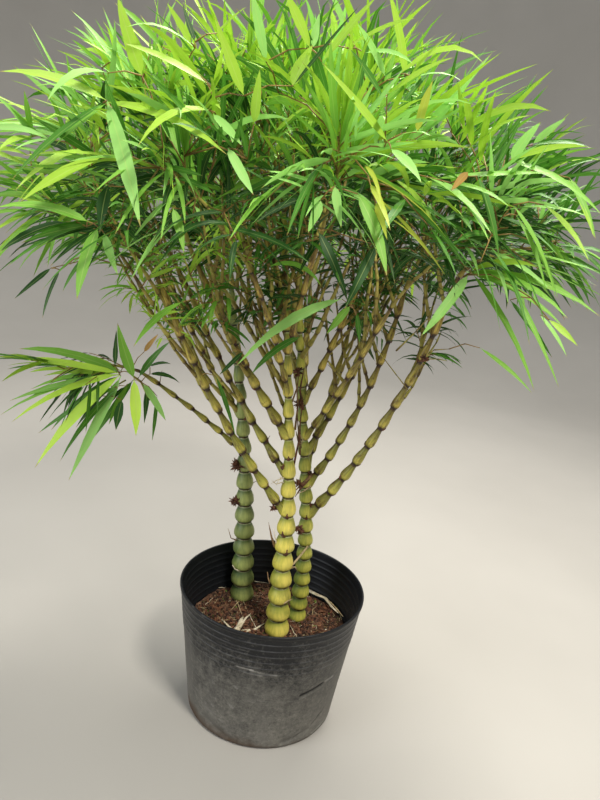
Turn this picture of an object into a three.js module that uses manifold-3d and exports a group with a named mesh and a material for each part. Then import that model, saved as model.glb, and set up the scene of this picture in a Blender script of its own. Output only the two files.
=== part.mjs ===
// Potted bamboo with swollen joints: three culms and their boughs in a soft black nursery pot.
// Millimetres, +Z up. The origin is the middle of the pot's flat underside, +X is the viewer's
// right and the viewer stands on the -Y side. Angles are in degrees: an azimuth turns from +X
// towards +Y, and a lean is measured from the vertical.
import * as THREE from 'three';
import { mergeVertices } from 'three/addons/utils/BufferGeometryUtils.js';
import Module from 'manifold-3d';

const wasm = await Module();
wasm.setup();

// Driving dimensions

const clearance = 0.3; // between pieces that touch

const pot = {
  height: 270,
  rimRadius: 175,
  footRadius: 143.5,
  depthRatio: 0.89, // the soft pot is pressed a little oval, front to back
  wall: 2.4,
  floor: 3,
  footRounding: 9,
  footSteps: 4,
  lipHeight: 7,
  lipOut: 1.8,
  lipEdge: 1,
  sides: 36,
};

const soil = { top: 163, shoulder: 4 };

// Each culm is a chain of joints. Lists are spread evenly from the foot to the tip.
const culms = {
  front: {
    foot: [18.5, -6],
    joints: 25,
    jointLengths: [36, 38, 38],
    azimuth: 182,
    leans: [2.7, 0.6, 6.6, 7.5, 8, 8],
    diameters: [48, 37.5, 23, 16, 11.5, 8.5],
    spray: { azimuth: 60, lean: 12, length: 120 },
  },
  right: {
    foot: [55, 46],
    joints: 27,
    jointLengths: [27, 33, 33],
    azimuth: 176,
    leans: [-2.5, 3, 9.5, 9, 6, 0],
    diameters: [38, 30, 24.5, 18, 12.5, 8.5],
    spray: { azimuth: 66, lean: 34, length: 170 },
  },
  left: {
    foot: [-62, 93],
    joints: 22,
    jointLengths: [36, 36, 36],
    azimuth: 171,
    leans: [3, 3.5, 7, 11, 9, 10],
    diameters: [50, 41, 30, 21, 14, 9],
    spray: { azimuth: 84, lean: 22, length: 190 },
  },
};

// Each bough leaves its culm at a node, counted from the soil, and ends where it enters its
// foliage. A spray is the foliage's own stem: the azimuth and lean that it turns to, its length.
const boughs = [
  { name: 'left_lowest', culm: 'left', node: 9, azimuth: 191, leans: [48, 58], joints: 7,
    jointLength: 36.5, diameters: [14, 9], spray: { azimuth: 196, lean: 104, length: 130 } },
  { name: 'left_rear', culm: 'left', node: 11, azimuth: 157, leans: [46, 30], joints: 8,
    jointLength: 40.5, diameters: [17, 10], spray: { azimuth: 166, lean: 68, length: 150 } },
  { name: 'left_front', culm: 'front', node: 7, azimuth: 198, leans: [40, 24], joints: 11,
    jointLength: 44, diameters: [20, 11], spray: { azimuth: 202, lean: 76, length: 160 } },
  { name: 'left_middle', culm: 'front', node: 9, azimuth: 156, leans: [47, 31], joints: 9,
    jointLength: 44, diameters: [19, 11], spray: { azimuth: 200, lean: 44, length: 190 } },
  { name: 'left_upper', culm: 'front', node: 11, azimuth: 196, leans: [38, 27], joints: 8,
    jointLength: 42, diameters: [21, 12], spray: { azimuth: 214, lean: 16, length: 250 } },
  { name: 'left_thin', culm: 'front', node: 14, azimuth: 164, leans: [36, 44], joints: 5,
    jointLength: 44, diameters: [12, 8], spray: { azimuth: 160, lean: 12, length: 270 } },
  { name: 'left_top', culm: 'front', node: 16, azimuth: 203, leans: [15, 28], joints: 5,
    jointLength: 44, diameters: [12, 8], spray: { azimuth: 250, lean: 28, length: 210 } },
  { name: 'right_lowest', culm: 'right', node: 8, azimuth: 338, leans: [35, 11], joints: 12,
    jointLength: 44, diameters: [22, 12], spray: { azimuth: 344, lean: 84, length: 150 } },
  { name: 'right_middle', culm: 'right', node: 10, azimuth: 358, leans: [31, 6], joints: 10,
    jointLength: 41, diameters: [19, 11], spray: { azimuth: 350, lean: 20, length: 260 } },
  { name: 'right_rear', culm: 'right', node: 12, azimuth: 39, leans: [37, 21], joints: 7,
    jointLength: 46, diameters: [17, 10], spray: { azimuth: 24, lean: 62, length: 210 } },
  { name: 'right_top', culm: 'right', node: 15, azimuth: 2, leans: [21, 13], joints: 7,
    jointLength: 41, diameters: [15, 9], spray: { azimuth: 40, lean: 8, length: 290 } },
  { name: 'front_left', culm: 'front', node: 13, azimuth: 238, leans: [26, 38], joints: 6,
    jointLength: 42, diameters: [13, 8], spray: { azimuth: 234, lean: 56, length: 190 } },
  { name: 'front_middle', culm: 'front', node: 15, azimuth: 283, leans: [24, 40], joints: 5,
    jointLength: 44, diameters: [13, 8], spray: { azimuth: 275, lean: 58, length: 160 } },
  { name: 'front_right', culm: 'right', node: 13, azimuth: 312, leans: [34, 26], joints: 7,
    jointLength: 45, diameters: [15, 9], spray: { azimuth: 308, lean: 56, length: 180 } },
  { name: 'rear_left', culm: 'left', node: 12, azimuth: 112, leans: [42, 28], joints: 8,
    jointLength: 40.5, diameters: [16, 9], spray: { azimuth: 118, lean: 42, length: 140 } },
  { name: 'rear_middle', culm: 'right', node: 14, azimuth: 96, leans: [36, 28], joints: 7,
    jointLength: 40, diameters: [14, 9], spray: { azimuth: 96, lean: 46, length: 200 } },
  { name: 'rear_right', culm: 'right', node: 11, azimuth: 70, leans: [41, 27], joints: 8,
    jointLength: 44, diameters: [17, 10], spray: { azimuth: 62, lean: 46, length: 180 } },
];

// A joint swells above its lower node and draws in to a neck below the next one. The joints of a
// stout limb have a shoulder as well.
const stoutDiameter = 21;
const stoutSwelling = [
  { at: 0, size: 0.74 },
  { at: 0.32, size: 1 },
  { at: 0.8, size: 0.82 },
];
const slimSwelling = [
  { at: 0, size: 0.65 },
  { at: 0.3, size: 1 },
];
const culmSides = 7;
const boughSides = 5;
const zigzag = 4; // each joint of a bough swings this far to one side and back
const jointStretch = [0.82, 1.18]; // a bough's joints are longer towards its tip

// One mass of foliage: a stem that carries on from its limb, twigs round it, leaves at their ends.
// The leaves are fewer and larger than life.
const foliage = {
  firstSeed: 11,
  stemJoints: 6,
  stemRadius: 5.4,
  stemTipRadius: 4.2,
  twigRadius: 2.4,
  twigLengths: [92, 48], // at the stem's foot and at its tip
  twigLeans: [58, 26], // from the stem's own direction
  leanScatter: 8,
  lengthScatter: 0.15,
  leavesPerTwig: 3,
  leafLengths: [140, 178],
  leafWidth: 29,
  leafThickness: 3,
  widestAt: 0.36,
  leafSpread: 38, // of the side leaves from their twig
  spreadScatter: 7,
  leafDroop: 0.34,
  leafRoll: 55, // at most, to either side of level
  leafSpacing: 16, // between the roots of a twig's leaves
  rootDepth: 1, // of a side leaf's root past the middle of its twig
  bareShare: 0.12, // of a leaf's length, where it may lie against its neighbours
  gap: 1, // kept to limbs and to the next mass
  leafGap: 7, // kept between the midribs of one mass
  tries: 14,
  shrink: 0.95, // of a twig and its leaves at each further try
  goldenAngle: 137.5,
};

// The crown is a dome above its centre and keeps the dome's width below it.
const crown = { centre: [-36, 26, 905], radii: [512, 448, 378] };

const finishes = {
  pot: { color: '#25272a', roughness: 0.6 },
  soil: { color: '#4a3526', roughness: 0.95 },
  culm_front: { color: '#a3a43c', roughness: 0.42 },
  culm_right: { color: '#8c9a3a', roughness: 0.42 },
  culm_left: { color: '#5f7434', roughness: 0.45 },
  bough: { color: '#8f8a35', roughness: 0.5 },
  leaf: { color: '#7fb02f', roughness: 0.55 },
};

const up = new THREE.Vector3(0, 0, 1);
const mergeWithin = 1e-4;

// Small helpers

// The value at a share of the way along a list that is spread evenly.
function along(list, share) {
  const place = share * (list.length - 1);
  const step = Math.min(Math.floor(place), list.length - 2);
  return THREE.MathUtils.lerp(list[step], list[step + 1], place - step);
}

// The unit vector with a given azimuth and lean.
function heading(azimuth, lean) {
  const turn = THREE.MathUtils.degToRad(azimuth);
  const tilt = THREE.MathUtils.degToRad(lean);
  const flat = Math.sin(tilt);
  return new THREE.Vector3(flat * Math.cos(turn), flat * Math.sin(turn), Math.cos(tilt));
}

// A repeatable row of numbers from 0 to 1.
function seeded(seed) {
  let state = seed;
  return () => {
    state = (state + 0x6d2b79f5) | 0;
    let mixed = Math.imul(state ^ (state >>> 15), 1 | state);
    mixed = (mixed + Math.imul(mixed ^ (mixed >>> 7), 61 | mixed)) ^ mixed;
    return ((mixed ^ (mixed >>> 14)) >>> 0) / 4294967296;
  };
}

// The shortest distance between two straight segments, each { from, to }.
function segmentGap(first, second) {
  const u = first.to.clone().sub(first.from);
  const v = second.to.clone().sub(second.from);
  const w = first.from.clone().sub(second.from);
  const uu = u.dot(u);
  const uv = u.dot(v);
  const vv = v.dot(v);
  const uw = u.dot(w);
  const vw = v.dot(w);
  const spread = uu * vv - uv * uv; // nothing where they are parallel
  let s = spread > 0 ? THREE.MathUtils.clamp((uv * vw - vv * uw) / spread, 0, 1) : 0;
  const t = THREE.MathUtils.clamp((uv * s + vw) / vv, 0, 1);
  s = THREE.MathUtils.clamp((uv * t - uw) / uu, 0, 1);
  return w.add(u.multiplyScalar(s)).sub(v.multiplyScalar(t)).length();
}

// Solids

// A closed geometry becomes a solid once its shared vertices are merged.
function solidOf(geometry) {
  geometry.deleteAttribute('normal');
  geometry.deleteAttribute('uv');
  const merged = mergeVertices(geometry, mergeWithin);
  const corners = merged.index.array;
  const kept = [];
  for (let i = 0; i < corners.length; i += 3) {
    const [a, b, c] = [corners[i], corners[i + 1], corners[i + 2]];
    if (a !== b && b !== c && c !== a) kept.push(a, b, c);
  }
  return new wasm.Manifold(new wasm.Mesh({
    numProp: 3,
    vertProperties: new Float32Array(merged.attributes.position.array),
    triVerts: new Uint32Array(kept),
  }));
}

// The largest connected body of a solid: loose scraps and sealed hollows are left behind.
function mainBody(solid) {
  const bodies = solid.decompose();
  return bodies.reduce((best, body) => (body.volume() > best.volume() ? body : best));
}

function meshOf(name, solid, finish) {
  const cut = solid.getMesh();
  const geometry = new THREE.BufferGeometry();
  geometry.setAttribute('position', new THREE.BufferAttribute(cut.vertProperties, cut.numProp));
  geometry.setIndex(new THREE.BufferAttribute(cut.triVerts, 1));
  geometry.computeVertexNormals();
  const mesh = new THREE.Mesh(geometry, new THREE.MeshStandardMaterial({ ...finish, metalness: 0 }));
  mesh.name = name;
  return mesh;
}

// A closed body through a row of rings, each { centre, heading, radius, flat }. The lathe makes it
// straight, one unit from ring to ring, and each vertex is then carried to its ring's place.
// A ring's flat squeezes it towards its side vector, as a blade is.
function tubeSolid(rings, sides, { growth = 0, side } = {}) {
  const profile = rings.map((ring, i) => new THREE.Vector2(ring.radius + growth, i));
  profile.unshift(new THREE.Vector2(0, 0));
  profile.push(new THREE.Vector2(0, rings.length - 1));
  const geometry = new THREE.LatheGeometry(profile, sides);
  const turns = side ? turnsFacing(rings, side) : turnsCarried(rings);
  const position = geometry.attributes.position;
  const vertex = new THREE.Vector3();
  for (let i = 0; i < position.count; i += 1) {
    vertex.fromBufferAttribute(position, i);
    const ring = Math.round(vertex.y);
    vertex.set(vertex.x, 0, vertex.z * (rings[ring].flat ?? 1));
    vertex.applyQuaternion(turns[ring]).add(rings[ring].centre);
    position.setXYZ(i, vertex.x, vertex.y, vertex.z);
  }
  return solidOf(geometry);
}

// The turns that stand a lathe's rings square to their headings, carried on from ring to ring.
function turnsCarried(rings) {
  let before = new THREE.Vector3(0, 1, 0);
  let turn = new THREE.Quaternion();
  return rings.map((ring) => {
    turn = new THREE.Quaternion().setFromUnitVectors(before, ring.heading).multiply(turn);
    before = ring.heading;
    return turn;
  });
}

// The same with every ring's x axis kept towards one side.
function turnsFacing(rings, side) {
  return rings.map((ring) => {
    const x = side.clone().addScaledVector(ring.heading, -side.dot(ring.heading)).normalize();
    const z = new THREE.Vector3().crossVectors(x, ring.heading);
    const basis = new THREE.Matrix4().makeBasis(x, ring.heading, z);
    return new THREE.Quaternion().setFromRotationMatrix(basis);
  });
}

// The rings of a blade: its widest place and its tip. A three-sided ring gives it a raised midrib.
function bladeRings(leaf) {
  const radius = leaf.width / Math.sqrt(3);
  const flat = foliage.leafThickness / (1.5 * radius);
  const at = (share) => leaf.root.clone().addScaledVector(leaf.heading, leaf.length * share);
  return [
    { centre: at(foliage.widestAt), heading: leaf.heading, radius, flat },
    { centre: at(1), heading: leaf.heading, radius: 0 },
  ];
}

// A leaf whose root is a point sunk in its twig.
function leafSolid(leaf) {
  return tubeSolid([{ centre: leaf.root, heading: leaf.heading, radius: 0 }, ...bladeRings(leaf)], 3, leaf);
}

// Limbs

// A limb is a chain of swollen joints. nodes holds the places between its joints.
function growLimb({ from, joints, jointLengths, azimuth, leans, diameters, swing = 0 }) {
  const nodes = [{ centre: from.clone(), radius: diameters[0] / 2 }];
  const rings = [];
  for (let joint = 0; joint < joints; joint += 1) {
    const share = (joint + 0.5) / joints;
    const side = joint % 2 === 0 ? swing : -swing;
    const direction = heading(azimuth + side, along(leans, share));
    const length = along(jointLengths, share);
    const foot = nodes[joint];
    foot.heading = direction;
    const swelling = along(diameters, share) > stoutDiameter ? stoutSwelling : slimSwelling;
    for (const { at, size } of swelling) {
      const centre = foot.centre.clone().addScaledVector(direction, at * length);
      const radius = along(diameters, (joint + at) / joints) * size / 2;
      const before = rings.at(-1)?.heading ?? direction;
      rings.push({ centre, radius, heading: before.clone().add(direction).normalize() });
    }
    const centre = foot.centre.clone().addScaledVector(direction, length);
    nodes.push({ centre, radius: along(diameters, (joint + 1) / joints) / 2, heading: direction });
  }
  const last = nodes[joints];
  rings.push({ centre: last.centre, radius: last.radius * slimSwelling[0].size, heading: last.heading });
  return { nodes, rings };
}

// The straight stretches of a limb with the widest radius of each, for clearance tests.
function stretchesOf(limb) {
  return limb.nodes.slice(1).map((node, i) => ({
    from: limb.nodes[i].centre,
    to: node.centre,
    radius: Math.max(limb.nodes[i].radius, node.radius),
  }));
}

function growCulm(culm) {
  const from = new THREE.Vector3(culm.foot[0], culm.foot[1], soil.top + clearance);
  const limb = growLimb({ ...culm, from });
  limb.rings[0].radius = culm.diameters[0] / 2; // the foot stands wide on the soil
  limb.rings[0].heading = up;
  return { ...limb, spray: culm.spray };
}

function growBough(bough, culm) {
  const limb = growLimb({
    ...bough,
    from: culm.nodes[bough.node].centre,
    jointLengths: jointStretch.map((stretch) => bough.jointLength * stretch),
    swing: zigzag,
  });
  return { ...limb, spray: bough.spray };
}

// A bough starts inside its culm and is cut back to stand just clear of it.
function boughSolid(bough, culm) {
  const seat = tubeSolid(culm.rings, culmSides, { growth: clearance });
  return mainBody(tubeSolid(bough.rings, boughSides).subtract(seat));
}

// The stem of a mass starts clear of its limb's tip and turns towards its spray's heading.
function growStem(limb) {
  const tip = limb.nodes.at(-1);
  const { azimuth, lean, length } = limb.spray;
  const centre = tip.centre.clone().addScaledVector(tip.heading, clearance);
  const nodes = [{ centre, heading: tip.heading, radius: foliage.stemRadius }];
  for (let joint = 1; joint <= foliage.stemJoints; joint += 1) {
    const share = joint / foliage.stemJoints;
    const direction = tip.heading.clone().lerp(heading(azimuth, lean), Math.sqrt(share)).normalize();
    nodes.push({
      centre: nodes[joint - 1].centre.clone().addScaledVector(direction, length / foliage.stemJoints),
      heading: direction,
      radius: THREE.MathUtils.lerp(foliage.stemRadius, foliage.stemTipRadius, share),
    });
  }
  return { nodes, middle: nodes.at(-2).centre };
}

// All limbs are known before any foliage grows, and so is the stem of each mass.
const grownCulms = {};
const grownBoughs = {};
const stems = {};
for (const [name, culm] of Object.entries(culms)) {
  grownCulms[name] = growCulm(culm);
  stems[`leaves_culm_${name}`] = growStem(grownCulms[name]);
}
for (const bough of boughs) {
  grownBoughs[bough.name] = growBough(bough, grownCulms[bough.culm]);
  stems[`leaves_${bough.name}`] = growStem(grownBoughs[bough.name]);
}

// Foliage

const limbStretches = [...Object.values(grownCulms), ...Object.values(grownBoughs)].flatMap(stretchesOf);

// A point is in a mass's own space when it is inside the crown and nearer to the middle of that
// mass's stem than to the middle of any other.
function inOwnSpace(name, point) {
  const own = stems[name].middle;
  for (const [other, { middle }] of Object.entries(stems)) {
    if (other === name) continue;
    const beyond = point.distanceToSquared(middle) - point.distanceToSquared(own);
    if (beyond < foliage.gap * 2 * own.distanceTo(middle)) return false;
  }
  const [x, y, z] = point.toArray().map((value, i) => (value - crown.centre[i]) / crown.radii[i]);
  return x * x + y * y + Math.max(z, 0) ** 2 < 1;
}

// A twig or leaf is clear when it keeps to its mass's space and off all limbs and other stems.
function isClear(name, from, to, radius) {
  if (!inOwnSpace(name, from) || !inOwnSpace(name, to)) return false;
  const off = (stretch) => segmentGap({ from, to }, stretch) > stretch.radius + radius + foliage.gap;
  const others = Object.keys(stems).filter((other) => other !== name);
  return limbStretches.every(off) && others.every((other) => stretchesOf(stems[other]).every(off));
}

// A leaf hangs from its root by the shared droop, its face turned up and rolled a little.
function hungLeaf(root, direction, length, roll) {
  const way = direction.clone();
  way.z -= foliage.leafDroop;
  way.normalize();
  const side = new THREE.Vector3().crossVectors(way, up).normalize();
  side.applyAxisAngle(way, THREE.MathUtils.degToRad(roll));
  return { root, heading: way, side, length, width: foliage.leafWidth };
}

function leafIsClear(name, leaf, others) {
  const at = (share) => leaf.root.clone().addScaledVector(leaf.heading, leaf.length * share);
  const midrib = { from: at(foliage.bareShare), to: at(1) };
  const edges = [-0.5, 0.5].map((hand) => (
    at(foliage.widestAt).addScaledVector(leaf.side, hand * leaf.width)
  ));
  if (!edges.every((edge) => inOwnSpace(name, edge))) return false;
  if (others.some((other) => segmentGap(midrib, other) < foliage.leafGap)) return false;
  return isClear(name, leaf.root, midrib.to, leaf.width / 2);
}

// A twig carries one leaf on from its tip and others from its sides.
function growTwig(name, foot, direction, length, scale, others, between) {
  const tip = foot.clone().addScaledVector(direction, length);
  if (!isClear(name, foot, tip, foliage.twigRadius)) return null;
  const leaves = [];
  for (let i = 0; i < foliage.leavesPerTwig; i += 1) {
    const hand = [0, 1, -1][i];
    const spread = hand * foliage.leafSpread + between(-1, 1) * foliage.spreadScatter;
    const way = direction.clone().applyAxisAngle(up, THREE.MathUtils.degToRad(spread));
    const root = tip.clone().addScaledVector(direction, -i * foliage.leafSpacing);
    const roll = between(-1, 1) * foliage.leafRoll;
    const leaf = hungLeaf(root, way, between(...foliage.leafLengths) * scale, roll);
    if (i > 0) leaf.root.addScaledVector(leaf.heading, -foliage.rootDepth);
    if (!leafIsClear(name, leaf, others)) return null;
    leaves.push(leaf);
  }
  const [end] = leaves;
  const rings = [
    { centre: foot, heading: direction, radius: foliage.twigRadius },
    { centre: tip, heading: direction, radius: foliage.twigRadius },
    ...bladeRings(end),
  ];
  return { leaves, solids: [tubeSolid(rings, 3, end), ...leaves.slice(1).map(leafSolid)] };
}

// Twigs stand round the stem a golden angle apart.
function massSolid(name, seed) {
  const random = seeded(seed);
  const between = (low, high) => low + (high - low) * random();
  const { nodes } = stems[name];
  const solids = [tubeSolid(nodes, 3)];
  const midribs = [];
  let bearing = between(0, 360);
  for (let joint = 1; joint < nodes.length; joint += 1) {
    const share = (joint - 1) / (nodes.length - 2);
    const node = nodes[joint];
    const turn = new THREE.Quaternion().setFromUnitVectors(up, node.heading);
    for (let attempt = 0; attempt < foliage.tries; attempt += 1) {
      bearing += foliage.goldenAngle;
      const scale = foliage.shrink ** attempt;
      const lean = along(foliage.twigLeans, share) + between(-1, 1) * foliage.leanScatter;
      const direction = heading(bearing, lean).applyQuaternion(turn);
      const scatter = 1 + between(-1, 1) * foliage.lengthScatter;
      const length = along(foliage.twigLengths, share) * scale * scatter;
      const twig = growTwig(name, node.centre, direction, length, scale, midribs, between);
      if (!twig) continue;
      solids.push(...twig.solids);
      for (const leaf of twig.leaves) {
        const tip = leaf.root.clone().addScaledVector(leaf.heading, leaf.length);
        midribs.push({ from: leaf.root, to: tip });
      }
      break;
    }
  }
  return mainBody(wasm.Manifold.union(solids));
}

// Pot and soil

// A lathe about +Z, pressed oval front to back.
function ovalSolid(profile) {
  const geometry = new THREE.LatheGeometry(profile.map(([r, z]) => new THREE.Vector2(r, z)), pot.sides);
  geometry.rotateX(Math.PI / 2);
  geometry.scale(1, pot.depthRatio, 1);
  return solidOf(geometry);
}

function outerRadius(z) {
  return THREE.MathUtils.lerp(pot.footRadius, pot.rimRadius - pot.lipOut, z / pot.height);
}

function footArc() {
  const r = pot.footRounding;
  return Array.from({ length: pot.footSteps + 1 }, (_, i) => {
    const turn = (i / pot.footSteps) * Math.PI / 2;
    const z = r - r * Math.cos(turn);
    return [outerRadius(z) - r + r * Math.sin(turn), z];
  });
}

function potProfile() {
  const lipBase = pot.height - pot.lipHeight;
  return [
    [0, 0],
    ...footArc(),
    [outerRadius(lipBase), lipBase],
    [pot.rimRadius, lipBase + pot.lipOut],
    [pot.rimRadius, pot.height - pot.lipEdge],
    [pot.rimRadius - pot.lipEdge, pot.height],
    [outerRadius(pot.height) - pot.wall, pot.height],
    [outerRadius(pot.floor + pot.footRounding) - pot.wall, pot.floor + pot.footRounding],
    [outerRadius(pot.floor) - pot.wall - pot.footRounding, pot.floor],
    [0, pot.floor],
  ];
}

function soilProfile() {
  const inner = (z) => outerRadius(z) - pot.wall - clearance / pot.depthRatio;
  const low = pot.floor + clearance;
  const corner = pot.footRounding + clearance;
  return [
    [0, low],
    [inner(low) - corner, low],
    [inner(low + corner), low + corner],
    [inner(soil.top - soil.shoulder), soil.top - soil.shoulder],
    [inner(soil.top) - 2 * soil.shoulder, soil.top],
    [0, soil.top],
  ];
}

// Assembly

const group = new THREE.Group();
group.add(meshOf('pot', ovalSolid(potProfile()), finishes.pot));
group.add(meshOf('soil', ovalSolid(soilProfile()), finishes.soil));
for (const [name, culm] of Object.entries(grownCulms)) {
  group.add(meshOf(`culm_${name}`, tubeSolid(culm.rings, culmSides), finishes[`culm_${name}`]));
}
for (const bough of boughs) {
  const solid = boughSolid(grownBoughs[bough.name], grownCulms[bough.culm]);
  group.add(meshOf(`bough_${bough.name}`, solid, finishes.bough));
}
Object.keys(stems).forEach((name, i) => {
  group.add(meshOf(name, massSolid(name, foliage.firstSeed + i), finishes.leaf));
});

export default group;
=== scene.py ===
import math
import random

import bmesh
import bpy
import numpy as np
from mathutils import Matrix, Quaternion, Vector, noise
from mathutils.kdtree import KDTree


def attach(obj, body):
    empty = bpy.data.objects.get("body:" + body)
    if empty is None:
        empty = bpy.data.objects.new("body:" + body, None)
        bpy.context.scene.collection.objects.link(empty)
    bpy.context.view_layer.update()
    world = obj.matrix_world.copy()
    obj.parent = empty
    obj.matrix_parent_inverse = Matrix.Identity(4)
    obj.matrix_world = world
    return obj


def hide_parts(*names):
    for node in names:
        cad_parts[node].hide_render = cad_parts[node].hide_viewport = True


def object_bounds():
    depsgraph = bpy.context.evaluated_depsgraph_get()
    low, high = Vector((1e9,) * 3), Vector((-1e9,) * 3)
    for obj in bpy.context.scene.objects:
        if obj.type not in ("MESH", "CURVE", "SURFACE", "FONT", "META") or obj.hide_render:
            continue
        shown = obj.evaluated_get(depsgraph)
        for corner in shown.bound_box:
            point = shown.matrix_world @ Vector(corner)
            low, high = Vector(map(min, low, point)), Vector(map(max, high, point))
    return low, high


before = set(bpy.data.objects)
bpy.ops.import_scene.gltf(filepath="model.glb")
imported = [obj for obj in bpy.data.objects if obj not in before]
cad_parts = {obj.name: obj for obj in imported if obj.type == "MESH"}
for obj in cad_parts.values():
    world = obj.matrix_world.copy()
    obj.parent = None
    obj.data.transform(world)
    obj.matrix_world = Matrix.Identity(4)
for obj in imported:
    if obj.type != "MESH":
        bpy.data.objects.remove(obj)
cadLow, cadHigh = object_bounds()
mm = 0.001
up = Vector((0, 0, 1))
goldenAngle = 137.5


def clamp(value, low=0, high=1):
    return min(max(value, low), high)


def along(values, share):
    # the value at a share of the way along a list that is spread evenly
    place = clamp(share) * (len(values) - 1)
    step = min(int(place), len(values) - 2)
    return values[step] + (values[step + 1] - values[step]) * (place - step)


def headingOf(azimuth, lean):
    turn, tilt = math.radians(azimuth), math.radians(lean)
    return Vector((math.sin(tilt) * math.cos(turn), math.sin(tilt) * math.sin(turn), math.cos(tilt)))


def showObject(name, data):
    shown = bpy.data.objects.new(name, data)
    bpy.context.collection.objects.link(shown)
    return shown


def meshFrom(bm, name):
    mesh = bpy.data.meshes.new(name)
    bm.to_mesh(mesh)
    bm.free()
    return mesh


def spunMesh(name, profile, sides, depthRatio=1, press=None):
    # a profile of radii and heights is spun round the vertical, and its depth is pressed in
    bm = bmesh.new()
    verts = [bm.verts.new((x * mm, 0, z * mm)) for x, z in profile]
    edges = [bm.edges.new(pair) for pair in zip(verts, verts[1:])]
    bmesh.ops.spin(
        bm, geom=verts + edges, cent=(0, 0, 0), axis=(0, 0, 1), angle=math.tau, steps=sides, use_merge=True)
    bmesh.ops.remove_doubles(bm, verts=bm.verts, dist=mm / 100)
    bmesh.ops.recalc_face_normals(bm, faces=bm.faces)
    bm.verts.index_update()
    for vert in bm.verts:
        vert.co.y *= depthRatio
        if press:
            press(vert)
    return meshFrom(bm, name)


# Camera, floor and light

cameraView = {
    "place": (0, -994, 942),
    "pitch": 17,  # downwards
    "roll": 7,  # the photographer held it a little turned
    "yaw": 0.5,
    "focal": 601,  # in pixels of the frame
    "frame": (600, 800),
    "sensor": 36,
}


def cameraAxes():
    # across the frame, up the frame and along the sight
    pitch, roll, yaw = (math.radians(cameraView[key]) for key in ("pitch", "roll", "yaw"))
    forward = Vector((math.sin(yaw) * math.cos(pitch), math.cos(yaw) * math.cos(pitch), -math.sin(pitch)))
    right = Vector((math.cos(yaw), -math.sin(yaw), 0))
    level = right.cross(forward)
    across = right * math.cos(roll) + level * math.sin(roll)
    return across, level * math.cos(roll) - right * math.sin(roll), forward


def sightThrough(pixel):
    across, upward, forward = cameraAxes()
    width, height = cameraView["frame"]
    x, y = (pixel[0] - width / 2) / cameraView["focal"], (height / 2 - pixel[1]) / cameraView["focal"]
    return Vector(cameraView["place"]), forward + across * x + upward * y


def placeAt(pixel, depth):
    # where the line of sight through a pixel of the frame meets the upright plane y = depth
    start, sight = sightThrough(pixel)
    return (start + sight * (depth - start.y) / sight.y) * mm


def placeOn(pixel, height):
    # where it meets the level plane z = height
    start, sight = sightThrough(pixel)
    return (start + sight * (height - start.z) / sight.z) * mm


def makeCamera():
    across, upward, forward = cameraAxes()
    data = bpy.data.cameras.new("camera")
    data.sensor_width = cameraView["sensor"]
    data.lens = cameraView["focal"] / max(cameraView["frame"]) * cameraView["sensor"]
    data.clip_start, data.clip_end = 0.02, 60
    camera = showObject("camera", data)
    turn = Matrix((across, upward, -forward)).transposed().to_4x4()
    camera.matrix_world = Matrix.Translation(Vector(cameraView["place"]) * mm) @ turn
    bpy.context.scene.camera = camera


studio = {
    "floorRadius": 5200,
    "sweepRadius": 2400,
    "wallHeight": 4800,
    "lights": {  # place, what it looks at, size, watts, colour
        "key": ((900, -1500, 2900), (0, 0, 700), 500, 78, (1.0, 0.96, 0.88)),
        "top": ((500, 900, 2900), (-50, 0, 950), 1000, 100, (1.0, 0.97, 0.9)),
        "fill": ((-2300, -1500, 1500), (-100, 0, 700), 1500, 40, (0.95, 0.98, 1.0)),
    },
    "sky": (0.88, 0.93, 1.0),
    "skyStrength": 0.66,
    "exposure": 0.0,
}


def makeBackdrop():
    # a floor that sweeps up into a round wall
    reach, sweep = studio["floorRadius"], studio["sweepRadius"]
    profile = [(0, 0)]
    for step in range(13):
        turn = math.radians(90 * step / 12)
        profile.append((reach - sweep + sweep * math.sin(turn), sweep - sweep * math.cos(turn)))
    profile.append((reach, studio["wallHeight"]))
    mesh = spunMesh("backdrop", profile, 72)
    mesh.shade_smooth()
    mesh.materials.append(backdropPaper())
    backdrop = showObject("backdrop", mesh)


def makeLights():
    for name, (place, target, size, watts, colour) in studio["lights"].items():
        data = bpy.data.lights.new(name, "AREA")
        data.size = size * mm
        data.energy = watts
        data.color = colour
        light = showObject(name, data)
        light.location = Vector(place) * mm
        light.rotation_euler = (Vector(target) - Vector(place)).to_track_quat("-Z", "Y").to_euler()
    world = bpy.data.worlds.new("sky")
    bpy.context.scene.world = world
    world.use_nodes = True
    background = world.node_tree.nodes["Background"]
    background.inputs["Color"].default_value = (*studio["sky"], 1)
    background.inputs["Strength"].default_value = studio["skyStrength"]
    settings = bpy.context.scene.view_settings
    settings.view_transform = "Standard"
    settings.look = "None"
    settings.exposure = studio["exposure"]


# Shader help: a Wire is one output socket, and sums on wires add Math nodes.

class Wire:
    def __init__(self, paint, socket):
        self.paint = paint
        self.socket = socket

    def maths(self, operation, *values):
        return self.paint.node("ShaderNodeMath", {"operation": operation}, dict(enumerate(values)))

    def __add__(self, other):
        return self.maths("ADD", self, other)

    __radd__ = __add__

    def __sub__(self, other):
        return self.maths("SUBTRACT", self, other)

    def __rsub__(self, other):
        return self.maths("SUBTRACT", other, self)

    def __mul__(self, other):
        return self.maths("MULTIPLY", self, other)

    __rmul__ = __mul__

    def fraction(self):
        return self.maths("FRACT", self)

    def size(self):
        return self.maths("ABSOLUTE", self)


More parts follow.
